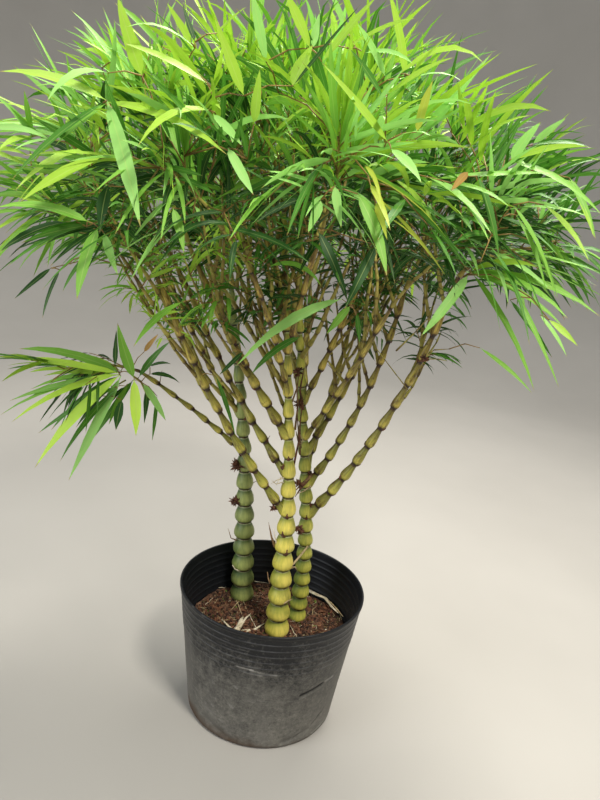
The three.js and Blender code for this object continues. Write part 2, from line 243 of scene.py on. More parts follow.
class Paint:
    # a material: its body is the colour so far, and a screen code stands for a colour
    def __init__(self, name, **constants):
        self.material = bpy.data.materials.new(name)
        self.material.use_nodes = True
        self.tree = self.material.node_tree
        self.shader = self.tree.nodes["Principled BSDF"]
        self.body = None
        for label, value in constants.items():
            self.shader.inputs[label.replace("_", " ")].default_value = value

    def node(self, kind, settings=None, inputs=None, output=0):
        made = self.tree.nodes.new(kind)
        for key, value in (settings or {}).items():
            if key == "stops":
                self.setStops(made.color_ramp, value)
            else:
                setattr(made, key, value)
        for key, value in (inputs or {}).items():
            self.feed(made.inputs[key], value)
        return Wire(self, made.outputs[output])

    def feed(self, socket, value):
        if isinstance(value, Wire):
            self.tree.links.new(value.socket, socket)
        else:
            socket.default_value = tint(value) if isinstance(value, str) else value

    def setStops(self, ramp, stops):
        while len(ramp.elements) < len(stops):
            ramp.elements.new(0.5)
        for element, (place, value) in zip(ramp.elements, stops):
            element.position = place
            element.color = tint(value) if isinstance(value, str) else (value, value, value, 1)

    def place(self):
        return self.node("ShaderNodeTexCoord", output="Object")

    def uv(self):
        return self.node("ShaderNodeTexCoord", output="UV")

    def split(self, vector):
        parts = self.node("ShaderNodeSeparateXYZ", inputs={0: vector}).socket.node.outputs
        return [Wire(self, part) for part in parts]

    def cloud(self, vector, scale, detail=3.0, roughness=0.55):
        # a scale for each axis draws the cloud out
        if isinstance(scale, tuple):
            vector = self.node("ShaderNodeMapping", inputs={"Vector": vector, "Scale": scale})
            scale = 1.0
        values = {"Vector": vector, "Scale": scale, "Detail": detail, "Roughness": roughness}
        return self.node("ShaderNodeTexNoise", inputs=values)

    def ramp(self, factor, *stops):
        return self.node("ShaderNodeValToRGB", {"stops": stops}, {0: factor})

    def blend(self, factor, first, second):
        return self.node("ShaderNodeMix", {"data_type": "RGBA"}, {0: factor, 6: first, 7: second}, 2)

    def cover(self, code, factor, *stops):
        # another colour over the body, by a factor or by a ramp of it
        if stops:
            factor = self.ramp(factor, *stops)
        self.body = self.blend(factor, self.body, code)

    def bump(self, height, strength, distance):
        values = {"Height": height, "Strength": strength, "Distance": distance * mm}
        self.finish("Normal", self.node("ShaderNodeBump", inputs=values))

    def finish(self, socket, value):
        self.feed(self.shader.inputs[socket], value)

    def done(self):
        self.finish("Base Color", self.body)
        return self.material


def tint(code):
    # a colour from its six-figure screen code, made linear
    parts = [int(code[i:i + 2], 16) / 255 for i in (0, 2, 4)]
    return (*(part / 12.92 if part <= 0.04045 else ((part + 0.055) / 1.055) ** 2.4 for part in parts), 1)


# Materials

def backdropPaper():
    paint = Paint("backdropPaper", Roughness=0.9)
    paint.body = paint.ramp(paint.cloud(paint.place(), 1.4), (0.3, "a7a39c"), (0.7, "aeaaa3"))
    return paint.done()


def culmSkin(name, bulge, neck, shade, sunny):
    # waxy live skin: yellower on the bulge, with painted shade under it and a painted sunlit
    # highlight on its sunny side, and a brown ring at each node
    paint = Paint(name, Roughness=0.4)
    place, uv = paint.place(), paint.uv()
    around, lengthwise, _ = paint.split(uv)
    joint = lengthwise.fraction()
    streaks = paint.cloud(uv, (26, 1.3, 1), 4.0, 0.6)
    blotches = paint.cloud(place, 22.0, 4.0, 0.6)
    moods = paint.cloud(uv, (2.5, 0.9, 1), 2.0)
    # painted shade under each bulge; the neck's own green is darkened as painted shade too
    paint.body = paint.ramp(joint, (0.03, shade), (0.17, bulge), (0.5, bulge), (0.85, neck))
    # painted sunlight: a highlight on the side turned to the sun, strongest on the bulge
    away = ((around + 0.63).fraction() - 0.5).size()
    lit = paint.ramp(away + moods * 0.2, (0.16, 0.85), (0.36, 0.0))
    paint.cover(sunny, lit * paint.ramp(joint, (0.04, 0.0), (0.16, 1.0), (0.7, 0.7), (0.9, 0.2)))
    paint.cover(neck, streaks, (0.42, 0.0), (0.72, 0.5))
    paint.cover(neck, moods, (0.5, 0.0), (0.7, 0.55))
    paint.cover(shade, blotches, (0.52, 0.0), (0.72, 0.6))
    paint.cover("cfd3a4", joint, (0.88, 0.0), (0.93, 0.35), (0.965, 0.7), (0.975, 0.0))
    nearNode = paint.ramp(joint, (0.0, 1.0), (0.09, 0.0), (0.9, 0.0), (0.99, 1.0))
    scurf = paint.ramp(paint.cloud(place, 140.0, 3.0, 0.6) + nearNode * 0.38, (0.68, 0.0), (0.82, 0.8))
    ring = paint.ramp(joint, (0.0, 1.0), (0.03, 0.85), (0.07, 0.0), (0.97, 0.0), (0.985, 1.0))
    paint.cover("5a3d22", scurf)
    paint.cover("33240f", ring)
    paint.finish("Roughness", paint.ramp(blotches, (0.3, 0.34), (0.7, 0.52)))
    paint.bump(streaks * 0.6 + ring * 0.8 + scurf * 0.5, 0.35, 1.2)
    return paint.done()


def boughSkin():
    # olive low down, golden brown where the sun has reached it, with painted shade under each bulge
    # and on the side turned from the sun
    paint = Paint("boughSkin", Roughness=0.42)
    place, uv = paint.place(), paint.uv()
    around, lengthwise, _ = paint.split(uv)
    joint = lengthwise.fraction()
    _, _, height = paint.split(place)
    streaks = paint.cloud(uv, (14, 1.1, 1), 4.0, 0.6)
    scars = paint.cloud(uv, (3, 1.2, 1), 3.0, 0.6)
    blotches = paint.cloud(place, 16.0, 4.0, 0.6)
    # the dark first stop of each ramp is painted shade under the bulge
    green = paint.ramp(joint, (0.05, "75782a"), (0.2, "d2c65a"), (0.42, "b9b54c"), (0.9, "7d8034"))
    golden = paint.ramp(joint, (0.05, "82602a"), (0.2, "e8c460"), (0.45, "c6a852"), (0.9, "866a30"))
    high = paint.ramp(height + blotches * 0.3, (0.68, 0.0), (1.0, 0.95))
    paint.body = paint.blend(high, green, golden)
    away = ((around + 0.63).fraction() - 0.5).size()
    paint.cover("57501c", streaks, (0.42, 0.0), (0.7, 0.75))
    # painted shade on the side turned from the sun
    paint.cover("463c18", away + blotches * 0.25, (0.3, 0.0), (0.52, 0.75))
    paint.cover("54381c", scars * 0.8 + height * 0.14, (0.51, 0.0), (0.6, 0.8))
    nearNode = paint.ramp(joint, (0.0, 1.0), (0.12, 0.0), (0.86, 0.0), (0.98, 1.0))
    scurf = paint.ramp(paint.cloud(place, 150.0, 3.0, 0.6) + nearNode * 0.46, (0.6, 0.0), (0.76, 0.9))
    ring = paint.ramp(joint, (0.0, 1.0), (0.035, 0.9), (0.07, 0.0), (0.95, 0.0), (0.975, 1.0))
    paint.cover("4a2f1c", scurf)
    paint.cover("2e1d12", ring)
    paint.finish("Roughness", paint.ramp(blotches, (0.3, 0.36), (0.7, 0.55)))
    paint.bump(streaks * 0.6 + ring * 0.8 + scurf * 0.6, 0.35, 1.0)
    return paint.done()


# Golden brown barks with a dark ring at each joint, which is so many rings of its tube long.
barks = {
    "stemSkin": {
        "roughness": 0.5, "tubeRings": 4, "patchScale": 26.0, "grainScale": 220.0,
        "patches": ((0.3, "4f3b1c"), (0.44, "8c7a38"), (0.56, "a79c48"), (0.7, "676a2c")),
        "ring": ((0.0, 1.0), (0.2, 0.6), (0.3, 0.0), (0.9, 0.0), (1.0, 1.0)),
        "ringShare": 0.85, "ringTint": "3a2412",
    },
    "twigSkin": {
        "roughness": 0.6, "tubeRings": 1, "patchScale": 30.0, "grainScale": 260.0,
        "patches": ((0.3, "6b4a26"), (0.5, "96753a"), (0.7, "7c6a2e")),
        "ring": ((0.0, 1.0), (0.08, 0.0), (0.92, 0.0), (1.0, 1.0)),
        "ringShare": 0.8, "ringTint": "35210f",
    },
}


def barkSkin(name):
    bark = barks[name]
    paint = Paint(name, Roughness=bark["roughness"])
    place = paint.place()
    _, lengthwise, _ = paint.split(paint.uv())
    ring = paint.ramp((lengthwise * (1 / bark["tubeRings"])).fraction(), *bark["ring"])
    paint.body = paint.ramp(paint.cloud(place, bark["patchScale"], 3.0, 0.6), *bark["patches"])
    paint.cover(bark["ringTint"], ring * bark["ringShare"])
    paint.bump(paint.cloud(place, bark["grainScale"], 2.0) + ring, 0.3, 0.6)
    return paint.done()


def leafBlade(name, code, backCode):
    # a thin blade that lets some light through; a paler midrib and fine veins run along it
    paint = Paint(name, Roughness=0.5, Specular_IOR_Level=0.35)
    uv = paint.uv()
    across, lengthwise, _ = paint.split(uv)
    patches = paint.cloud(paint.place(), 14.0, 2.0)
    veins = paint.cloud(uv, (34, 1.4, 1), 2.0)
    paint.body = paint.blend(paint.ramp(patches, (0.3, 0.0), (0.7, 0.45)), code, backCode)
    paint.cover(backCode, veins, (0.45, 0.0), (0.75, 0.3))
    paint.cover("c3d67c", across, (0.44, 0.0), (0.49, 0.4), (0.51, 0.4), (0.56, 0.0))
    paint.cover("a98a4a", lengthwise + patches * 0.08, (0.985, 0.0), (1.0, 0.8))
    paint.bump(veins, 0.25, 0.4)
    skin = Wire(paint, paint.shader.outputs[0])
    glow = paint.node("ShaderNodeBsdfTranslucent", inputs={"Color": code})
    mixed = paint.node("ShaderNodeMixShader", inputs={0: 0.26, 1: skin, 2: glow})
    paint.feed(paint.tree.nodes["Material Output"].inputs["Surface"], mixed)
    return paint.done()


def fibreSkin(name, light, dark, roughness=0.8):
    # husks, straw, bark bits, buds and roots: a fibrous dry skin
    paint = Paint(name, Roughness=roughness)
    grain = paint.cloud(paint.place(), 120.0, 4.0, 0.65)
    paint.body = paint.ramp(grain, (0.34, dark), (0.62, light))
    paint.bump(grain, 0.5, 0.8)
    return paint.done()


def soilSkin():
    paint = Paint("soilSkin", Roughness=0.95)
    place = paint.place()
    crumbs = paint.cloud(place, 90.0, 6.0, 0.7)
    paint.body = paint.ramp(crumbs, (0.34, "1c100a"), (0.5, "543827"), (0.66, "8c6a50"))
    paint.cover("3b281b", paint.cloud(place, 14.0, 3.0), (0.5, 0.0), (0.7, 0.6))
    paint.bump(crumbs, 0.9, 3.0)
    return paint.done()


def potSkin():
    # soft black polyethylene: black inside, dusty and scuffed low down, with paler ring crests that are
    # partly painted highlight, paler scratches and raised creases, and pressed-in dents darker as painted
    # shade
    paint = Paint("potSkin", Roughness=0.55, Specular_IOR_Level=0.35)
    place = paint.place()
    aside, _, height = paint.split(place)
    inner, marks = (
        paint.node("ShaderNodeAttribute", {"attribute_name": name}, output=2) for name in ("inner", "worn"))
    outer = 1 - inner
    dust = paint.cloud(place, 11.0, 6.0, 0.65)
    fine = paint.cloud(place, 150.0, 5.0, 0.8)
    mottle = paint.cloud(place, 46.0, 4.0, 0.7)
    runs = paint.cloud(place, (30, 30, 2.4), 4.0, 0.6)
    scratches = paint.cloud(place, (12, 12, 160), 2.0)
    low = paint.ramp(height, (0.0, 1.0), (0.07, 0.85), (0.15, 0.6), (0.21, 0.25), (0.262, 0.0))
    dusty = low * 0.35 + dust * 0.3 + fine * 0.75 + mottle * 0.3 - 0.275
    dusty = paint.ramp(dusty, (0.44, 0.0), (0.95, 0.95))
    paint.body = paint.blend(dusty * outer, "141518", "8a877f")
    paint.cover("6f6d68", paint.ramp(runs + low * 0.2, (0.62, 0.0), (0.82, 0.3)) * outer)
    paint.cover("8d8b86", paint.ramp(fine + low * 0.06, (0.66, 0.0), (0.76, 0.5)) * outer)
    paint.cover("7d7c7a", paint.ramp(scratches, (0.68, 0.0), (0.75, 0.4)) * outer)
    # partly painted highlight: the ring crests are paler, patchy like wear and fainter inside
    step = ((height * -1000 + pot["ringTop"]) * (1 / pot["ringSpacing"]) + 0.5).fraction() - 0.5
    crest = paint.ramp(step.size(), (0.0, 1.0), (0.11, 0.0))
    band = ((0.162, 0.0), (0.166, 0.3), (0.178, 0.4), (0.184, 1.0), (0.258, 1.0), (0.262, 0.0))
    worn = paint.ramp(mottle * 0.5 + runs * 0.5, (0.4, 0.1), (0.6, 0.7))
    fainter = paint.ramp(inner, (0.0, 1.0), (1.0, 0.4))
    paint.cover("6c6e72", crest * paint.ramp(height, *band) * worn * fainter)
    paint.cover("1b1e24", inner * 0.5)
    # paler along scratches and raised creases, darker in pressed-in dents as painted shade
    paint.cover("a5a39e", marks + fine * 0.2, (0.15, 0.0), (0.9, 0.85))
    paint.cover("0c0c0d", marks * -1 + fine * 0.2, (0.15, 0.0), (0.9, 0.9))
    mud = height + dust * 0.05 + mottle * 0.03 + aside * 0.09
    mud = paint.ramp(mud, (0.036, 1.0), (0.062, 0.0))
    paint.cover("483423", mud * outer * 0.85)
    paint.finish("Roughness", paint.ramp(dusty, (0.0, 0.42), (0.8, 0.85)))
    paint.bump(fine * 0.5 + mottle * 0.5 + dust * 0.6 + mud * 0.5, 0.3, 1.5)
    return paint.done()


# Pieces

def addPiece(name, mesh, material, nodes=(), smooth=True):
    if smooth:
        mesh.shade_smooth()
    piece = showObject(name, mesh)
    mesh.materials.append(material)
    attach(piece, "root")
    if nodes:
        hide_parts(*nodes)


def arrayPiece(name, vertices, faces, uv, material, slot, nodes=()):
    # one joined mesh from arrays, its UV map given for each vertex
    mesh = bpy.data.meshes.new(name)
    mesh.from_pydata(vertices, [], faces)
    layer = mesh.uv_layers.new(name="along")
    corners = np.empty(len(mesh.loops), np.int32)
    mesh.loops.foreach_get("vertex_index", corners)
    layer.data.foreach_set("uv", np.asarray(uv, np.float32)[corners].ravel())
    addPiece(name, mesh, material, nodes)


# Limbs: the solids' own rule, written again. Culms stand on the soil, boughs leave their nodes.

soilTop = 163
clearance = 0.3

# Skin colours: bulge, neck, painted shade under the bulges, and a painted sunlit highlight.
culms = {
    "front": {
        "foot": (18.5, -6), "joints": 25, "jointLengths": (36, 38, 38), "azimuth": 182,
        "leans": (2.7, 0.6, 6.6, 7.5, 8, 8), "diameters": (48, 37.5, 23, 16, 11.5, 8.5),
        "spray": (60, 12, 120), "skin": ("d8cb56", "7f8a32", "586325", "f2e070"),
    },
    "right": {
        "foot": (55, 46), "joints": 27, "jointLengths": (27, 33, 33), "azimuth": 176,
        "leans": (-2.5, 3, 9.5, 9, 6, 0), "diameters": (38, 30, 24.5, 18, 12.5, 8.5),
        "spray": (66, 34, 170), "skin": ("a6ae4a", "4f692b", "384b20", "dcd25c"),
    },
    "left": {
        "foot": (-62, 93), "joints": 22, "jointLengths": (36, 36, 36), "azimuth": 171,
        "leans": (3, 3.5, 7, 11, 9, 10), "diameters": (50, 41, 30, 21, 14, 9),
        "spray": (84, 22, 190), "skin": ("909c54", "425c31", "2e4324", "b8bf72"),
    },
}

# culm, its node, azimuth, leans, joints, joint length, diameters, spray azimuth, lean and length
boughs = {
    "left_lowest": ("left", 9, 191, (48, 58), 7, 36.5, (14, 9), (196, 104, 130)),
    "left_rear": ("left", 11, 157, (46, 30), 8, 40.5, (17, 10), (166, 68, 150)),
    "left_front": ("front", 7, 198, (40, 24), 11, 44, (20, 11), (202, 76, 160)),
    "left_middle": ("front", 9, 156, (47, 31), 9, 44, (19, 11), (200, 44, 190)),
    "left_upper": ("front", 11, 196, (38, 27), 8, 42, (21, 12), (214, 16, 250)),
    "left_thin": ("front", 14, 164, (36, 44), 5, 44, (12, 8), (160, 12, 270)),
    "left_top": ("front", 16, 203, (15, 28), 5, 44, (12, 8), (250, 28, 210)),
    "right_lowest": ("right", 8, 338, (35, 11), 12, 44, (22, 12), (344, 84, 150)),
    "right_middle": ("right", 10, 358, (31, 6), 10, 41, (19, 11), (350, 20, 260)),
    "right_rear": ("right", 12, 39, (37, 21), 7, 46, (17, 10), (24, 62, 210)),
    "right_top": ("right", 15, 2, (21, 13), 7, 41, (15, 9), (40, 8, 290)),
    "front_left": ("front", 13, 238, (26, 38), 6, 42, (13, 8), (234, 56, 190)),
    "front_middle": ("front", 15, 283, (24, 40), 5, 44, (13, 8), (275, 58, 160)),
    "front_right": ("right", 13, 312, (34, 26), 7, 45, (15, 9), (308, 56, 180)),
    "rear_left": ("left", 12, 112, (42, 28), 8, 40.5, (16, 9), (118, 42, 140)),
    "rear_middle": ("right", 14, 96, (36, 28), 7, 40, (14, 9), (96, 46, 200)),
    "rear_right": ("right", 11, 70, (41, 27), 8, 44, (17, 10), (62, 46, 180)),
}

# A joint's profile from its lower node to its upper one: place, and size on a stout and a slim limb.
jointShape = {
    "stations": (0, 0.02, 0.06, 0.12, 0.21, 0.33, 0.47, 0.61, 0.75, 0.87, 0.925, 0.965, 0.985),
    "stout": (0.63, 0.69, 0.82, 0.93, 1.0, 1.02, 0.985, 0.91, 0.815, 0.73, 0.7, 0.73, 0.675),
    "slim": (0.6, 0.68, 0.83, 0.94, 1.0, 0.97, 0.86, 0.74, 0.65, 0.6, 0.59, 0.645, 0.6),
    "slimBelow": 15,  # diameters, with a blend between
    "stoutAbove": 24,
    "culmSides": 26,
    "boughSides": 16,
    "zigzag": 4,
    "stretch": (0.82, 1.18),  # a bough's joints are longer towards its tip
    "relief": 0.035,
}


def growLimb(foot, joints, jointLengths, azimuth, leans, diameters, swing=0):
    places, headings = [foot], []
    for joint in range(joints):
        share = (joint + 0.5) / joints
        way = headingOf(azimuth + (swing if joint % 2 == 0 else -swing), along(leans, share))
        headings.append(way)
        places.append(places[joint] + way * along(jointLengths, share) * mm)
    return {"places": places, "headings": headings, "joints": joints, "diameters": diameters}


def limbRadius(limb, joint, at):
    diameter = along(limb["diameters"], (joint + at) / limb["joints"])
    slimBelow, stoutAbove = jointShape["slimBelow"], jointShape["stoutAbove"]
    stout = clamp((diameter - slimBelow) / (stoutAbove - slimBelow))
    step = jointShape["stations"].index(at)
    return diameter / 2 * mm * (jointShape["stout"][step] * stout + jointShape["slim"][step] * (1 - stout))


def limbRings(limb):
    # rings from foot to tip, with a ring of no size to close each end
    rings = []
    before = limb["headings"][0]
    for joint, way in enumerate(limb["headings"]):
        for at in jointShape["stations"]:
            facing = (before + way).normalized() if at == 0 else way
            centre = limb["places"][joint].lerp(limb["places"][joint + 1], at)
            rings.append((centre, facing, limbRadius(limb, joint, at), joint + at))
        before = way
    last = limb["joints"]
    rings.append((limb["places"][last], before, limbRadius(limb, last - 1, 0) * 0.9, last))
    foot, tip = ((centre, facing, 0, place) for centre, facing, _, place in (rings[0], rings[-1]))
    return [foot, *rings, tip]


def rollTube(rings, sides, relief, seed):
    # a flat grid is rolled up round the rings, and its seam and its ends are merged
    bm = bmesh.new()
    layer = bm.loops.layers.uv.new("along")
    rows = len(rings) - 1
    bmesh.ops.create_grid(bm, x_segments=sides, y_segments=rows, size=0.5, calc_uvs=True)
    frames, before, turn = [], up, Quaternion()
    for _, facing, _, _ in rings:
        turn = before.rotation_difference(facing) @ turn
        before = facing
        frames.append((turn @ Vector((1, 0, 0)), turn @ Vector((0, 1, 0))))
    for face in bm.faces:
        for loop in face.loops:
            loop[layer].uv.y = rings[round(loop[layer].uv.y * rows)][3]
    for vert in bm.verts:
        row = round((vert.co.y + 0.5) * rows)
        angle = round((vert.co.x + 0.5) * sides) % sides / sides * math.tau
        centre, _, radius, _ = rings[row]
        x, y = frames[row]
        out = x * math.cos(angle) + y * math.sin(angle)
        lump = 1 + relief * noise.noise((centre + out * radius) * 45 + Vector((seed, 0, 0)))
        vert.co = centre + out * radius * lump
    bmesh.ops.remove_doubles(bm, verts=bm.verts, dist=mm / 1000)
    return meshFrom(bm, "limb")


def growLimbs():
    limbs, sprays = {}, {}
    for name, culm in culms.items():
        foot = Vector((*culm["foot"], soilTop + clearance)) * mm
        limbs["culm_" + name] = growLimb(
            foot, culm["joints"], culm["jointLengths"], culm["azimuth"], culm["leans"], culm["diameters"])
        sprays["culm_" + name] = culm["spray"]
    for name, (culm, node, azimuth, leans, joints, length, diameters, spray) in boughs.items():
        foot = limbs["culm_" + culm]["places"][node].copy()
        lengths = [length * stretch for stretch in jointShape["stretch"]]
        limbs["bough_" + name] = growLimb(
            foot, joints, lengths, azimuth, leans, diameters, jointShape["zigzag"])
        sprays["bough_" + name] = spray
    return limbs, sprays


def makeLimbs(limbs):
    bark = boughSkin()
    for seed, (name, limb) in enumerate(limbs.items()):
        kind, short = name.split("_", 1)
        sides = jointShape["culmSides"] if kind == "culm" else jointShape["boughSides"]
        mesh = rollTube(limbRings(limb), sides, jointShape["relief"], seed * 7.3)
        if kind == "culm":
            skin = culmSkin("culmSkin_" + short, *culms[short]["skin"])
            addPiece("swollen_" + name, mesh, skin, [name])
        else:
            addPiece("swollen_" + name, mesh, bark, [name])


# Foliage: stems carry on from the limbs, twigs branch from their joints, sprays end the twigs.

foliage = {
    "seed": 5,
    "stemJoints": 9,
    "stemDiameters": (9, 3.2),
    "stemSwing": 0.09,
    "thinStemJoint": 38,
    "twigsPerJoint": 2,
    "lowTwigs": 0.55,  # share of the lowest bough's joints that bear a twig
    "twigLengths": (96, 46),
    "twigLeans": (60, 24),
    "twigDiameters": (2.4, 1.3),
    "twigLift": 0.08,
    "sideStemFrom": 0.34,  # of a limb's length
    "sideStemLowest": 600,
    "sideStemSkipped": 0.1,
    "sideStemLengths": (170, 300),
    "sideStemDiameters": (7, 2.2),
    "sideStemJoints": 9,
    "sideTwigLengths": (25, 60),
    "sprayLeaves": (4, 7),
    "leafLengths": (78, 150),
    "leafWidths": (5.2, 9.8),
    "leafSpread": 22,
    "leafGap": 11,  # between the roots in a spray
    "leafRoll": 45,
    "leafFold": 0.22,
    "leafSag": 0.42,  # how far a droop of 1 lowers the tip
    "leafShrink": 0.84,  # a leaf is shortened by this until it stays in the crown
    "innerSprigs": 0.65,  # share of the low joints that carry a small sprig
    "innerSpan": (730, 980),
    "sprigLengths": (14, 34),
    "sprigScale": 0.62,
    "frontShift": -45,  # of the leaves that stand out
    "frontWidth": 0.86,
    "boxMargin": 8,  # kept from every leaf's tip to the solids' box
    "woodMargin": 25,
    "cell": 54,  # a cube of the crown this wide holds so many sprays
    "cellSprays": 2,
    "fillTries": 4200,
    "fillReach": (26, 135),
    "lowestFoot": 890,  # few sprays start below it at the crown's middle
    "lowFade": 120,
    "rimDrops": (60, 25),  # how much lower they may start at its left and its right
    "backDrop": 140,  # and at its back
}

# The crown is a dome above its centre and keeps the dome's width below it. Its wood stays further in.
crown = {"centre": (-36, 26, 905), "radii": (512, 448, 378), "woodRadii": (425, 362, 252)}

# Leaf tints. From darkest to lightest the greens are shaded and lit copies of one leaf green: painted shade
# inside and under the crown, painted sunlight at its top, the lightest partly their own yellow-green. The
# brightest yellow-green tint is painted sunlight and the mint one a painted reflection of the sky; the
# yellow and dry tints are the leaves' own colours.
leafTints = {
    "fresh": ("a0cb38", "b6da58"),
    "bright": ("78b338", "92c452"),
    "middle": ("467e24", "5a9432"),
    "deep": ("244d17", "326322"),
    "pale": ("96d066", "aee084"),
    "lime": ("c2ec48", "d4f468"),
    "yellow": ("b6c446", "a8b23c"),
    "dry": ("b98a44", "d2ae62"),
}

# stations along a leaf, and the width of each half there
leafShape = {
    "stations": (0, 0.035, 0.11, 0.25, 0.43, 0.63, 0.82, 1),
    "halfWidths": (0.07, 0.1, 0.62, 0.94, 1.0, 0.81, 0.44, 0),
}

# Leaves that stand out in the photograph: root and tip in pixels, depth of the root and of the
# tip in millimetres, width, tint, and how much the leaf arches.
frontLeaves = [
    ((142, 76), (109, -3), -215, -235, 19, "fresh", 0.15),
    ((161, 46), (116, -2), -190, -230, 10, "bright", 0.2),
    ((207, 83), (125, 45), -230, -290, 12, "fresh", 0.35),
    ((195, 48), (129, 30), -190, -250, 6, "pale", 1.0),
    ((191, 43), (165, 4), -200, -220, 10, "fresh", 0.2),
    ((195, 42), (179, 4), -190, -190, 8, "deep", 0.2),
    ((244, 96), (210, 18), -240, -270, 14, "fresh", 0.15),
    ((217, 33), (247, 4), -170, -190, 7, "fresh", 0.1),
    ((266, 62), (250, -14), -230, -250, 12, "pale", 0.15),
    ((102, 68), (73, 36), -150, -180, 6, "bright", 0.2),
    ((115, 61), (83, 41), -150, -190, 7, "fresh", 0.3),
    ((108, 73), (52, 112), -230, -290, 15, "pale", 1.3),
    ((107, 101), (146, 226), -255, -300, 20, "pale", 0.1),
    ((106, 100), (-2, 64), -230, -280, 13, "fresh", 0.5),
    ((103, 103), (17, 185), -250, -290, 13, "middle", 0.5),
    ((107, 102), (236, 146), -250, -300, 13, "fresh", 0.4),
    ((105, 104), (60, 150), -240, -260, 10, "bright", 0.5),
    ((209, 110), (141, 154), -250, -310, 14, "fresh", 1.2),
    ((213, 114), (238, 150), -250, -280, 11, "pale", 0.4),
    ((103, 156), (25, 207), -250, -300, 17, "fresh", 0.5),
    ((89, 222), (-4, 200), -240, -280, 15, "bright", 0.6),
    ((108, 186), (96, 232), -240, -260, 16, "deep", 0.3),
    ((98, 227), (70, 298), -245, -275, 20, "bright", 0.2),
    ((104, 233), (114, 276), -245, -260, 11, "pale", 0.2),
    ((66, 222), (-2, 250), -220, -260, 12, "deep", 0.5),
    ((32, 136), (24, 90), -120, -150, 9, "bright", 0.2),
    ((32, 136), (-2, 93), -120, -170, 10, "pale", 0.4),
    ((32, 137), (-6, 150), -120, -180, 9, "fresh", 0.6),
    ((310, 48), (283, -12), -235, -260, 14, "fresh", 0.15),
    ((313, 48), (319, 12), -220, -220, 10, "pale", 0.1),
    ((292, 86), (312, 44), -250, -265, 18, "fresh", 0.15),
    ((322, 62), (379, -3), -240, -290, 11, "fresh", 0.2),
    ((293, 86), (364, 10), -255, -300, 7, "deep", 0.2),
    ((344, 24), (328, -8), -170, -190, 11, "pale", 0.2),
    ((385, 76), (361, 20), -230, -240, 9, "pale", 0.2),
    ((347, 48), (415, 23), -210, -270, 6, "fresh", 0.5),
    ((405, 76), (397, -14), -215, -230, 12, "fresh", 0.05),
    ((410, 76), (453, 30), -230, -270, 10, "fresh", 0.2),
    ((387, 95), (453, 62), -250, -300, 9, "fresh", 0.5),
    ((388, 142), (320, 64), -270, -310, 11, "fresh", 0.15),
    ((383, 98), (350, 47), -250, -270, 10, "middle", 0.2),
    ((365, 53), (412, 66), -220, -260, 8, "pale", 0.8),
    ((254, 124), (262, 70), -270, -290, 14, "fresh", 0.1),
    ((417, 132), (427, 79), -260, -280, 11, "yellow", 0.1),
    ((228, 148), (248, 197), -290, -310, 13, "pale", 0.3),
    ((173, 208), (186, 253), -270, -280, 12, "bright", 0.3),
    ((321, 200), (311, 234), -290, -300, 12, "pale", 0.4),
    ((335, 186), (338, 228), -290, -300, 11, "pale", 0.3),
    ((358, 194), (393, 274), -290, -320, 16, "bright", 0.4),
    ((391, 149), (421, 184), -280, -310, 14, "pale", 0.5),
    ((376, 245), (349, 312), -260, -290, 14, "deep", 0.4),
    ((318, 231), (346, 302), -250, -270, 14, "deep", 0.4),
    ((342, 299), (235, 366), -110, -190, 15, "pale", 0.7),
    ((270, 266), (326, 282), -150, -190, 8, "bright", 1.2),
    ((182, 302), (129, 346), -120, -190, 12, "bright", 0.6),
    ((400, 74), (486, 44), -230, -250, 9, "fresh", 1.3),
    ((510, 160), (588, 147), -190, -250, 10, "fresh", 0.5),
    ((510, 161), (601, 217), -190, -270, 11, "bright", 0.6),
    ((570, 178), (593, 240), -230, -260, 9, "bright", 0.5),
    ((513, 205), (550, 300), -220, -260, 8, "bright", 0.8),
    ((544, 205), (583, 266), -220, -260, 8, "fresh", 0.8),
    ((511, 160), (537, 119), -180, -190, 15, "pale", 0.1),
    ((533, 144), (567, 119), -170, -190, 12, "pale", 0.2),
    ((533, 145), (592, 148), -180, -230, 8, "middle", 0.5),
    ((470, 271), (600, 318), -130, -210, 13, "bright", 0.7),
    ((470, 272), (575, 314), -130, -220, 13, "bright", 0.7),
    ((471, 272), (561, 330), -130, -200, 12, "bright", 0.6),
    ((472, 273), (531, 391), -130, -180, 11, "bright", 0.6),
    ((468, 275), (429, 341), -140, -190, 17, "pale", 0.2),
    ((471, 270), (540, 262), -130, -190, 11, "fresh", 0.6),
    ((478, 176), (501, 257), -240, -260, 13, "middle", 0.3),
    ((516, 215), (533, 293), -200, -230, 6, "bright", 1.1),
    ((530, 240), (549, 300), -200, -230, 6, "bright", 0.9),
    ((512, 286), (552, 390), -200, -250, 7, "bright", 0.4),
    ((549, 320), (577, 347), -220, -240, 9, "fresh", 0.3),
    ((540, 315), (561, 359), -220, -240, 8, "pale", 0.7),
    ((480, 348), (528, 397), -90, -140, 7, "bright", 0.5),
    ((510, 300), (546, 362), -200, -230, 10, "middle", 0.4),
    ((569, 180), (592, 238), -230, -260, 8, "fresh", 0.5),
    ((468, 172), (452, 191), -250, -255, 10, "dry", 0.3),
    ((51, 268), (18, 302), -180, -210, 9, "deep", 0.3),
    ((60, 270), (39, 317), -180, -200, 7, "deep", 0.4),
    ((88, 255), (60, 290), -180, -200, 8, "middle", 0.4),
    ((350, 306), (328, 336), -90, -130, 13, "bright", 0.3),
    ((357, 313), (359, 344), -90, -110, 8, "middle", 0.2),
    ((300, 337), (247, 371), -90, -140, 12, "middle", 0.5),
    ((216, 376), (236, 437), -40, -60, 8, "middle", 0.3),
    ((243, 352), (222, 377), -50, -70, 9, "deep", 0.3),
]

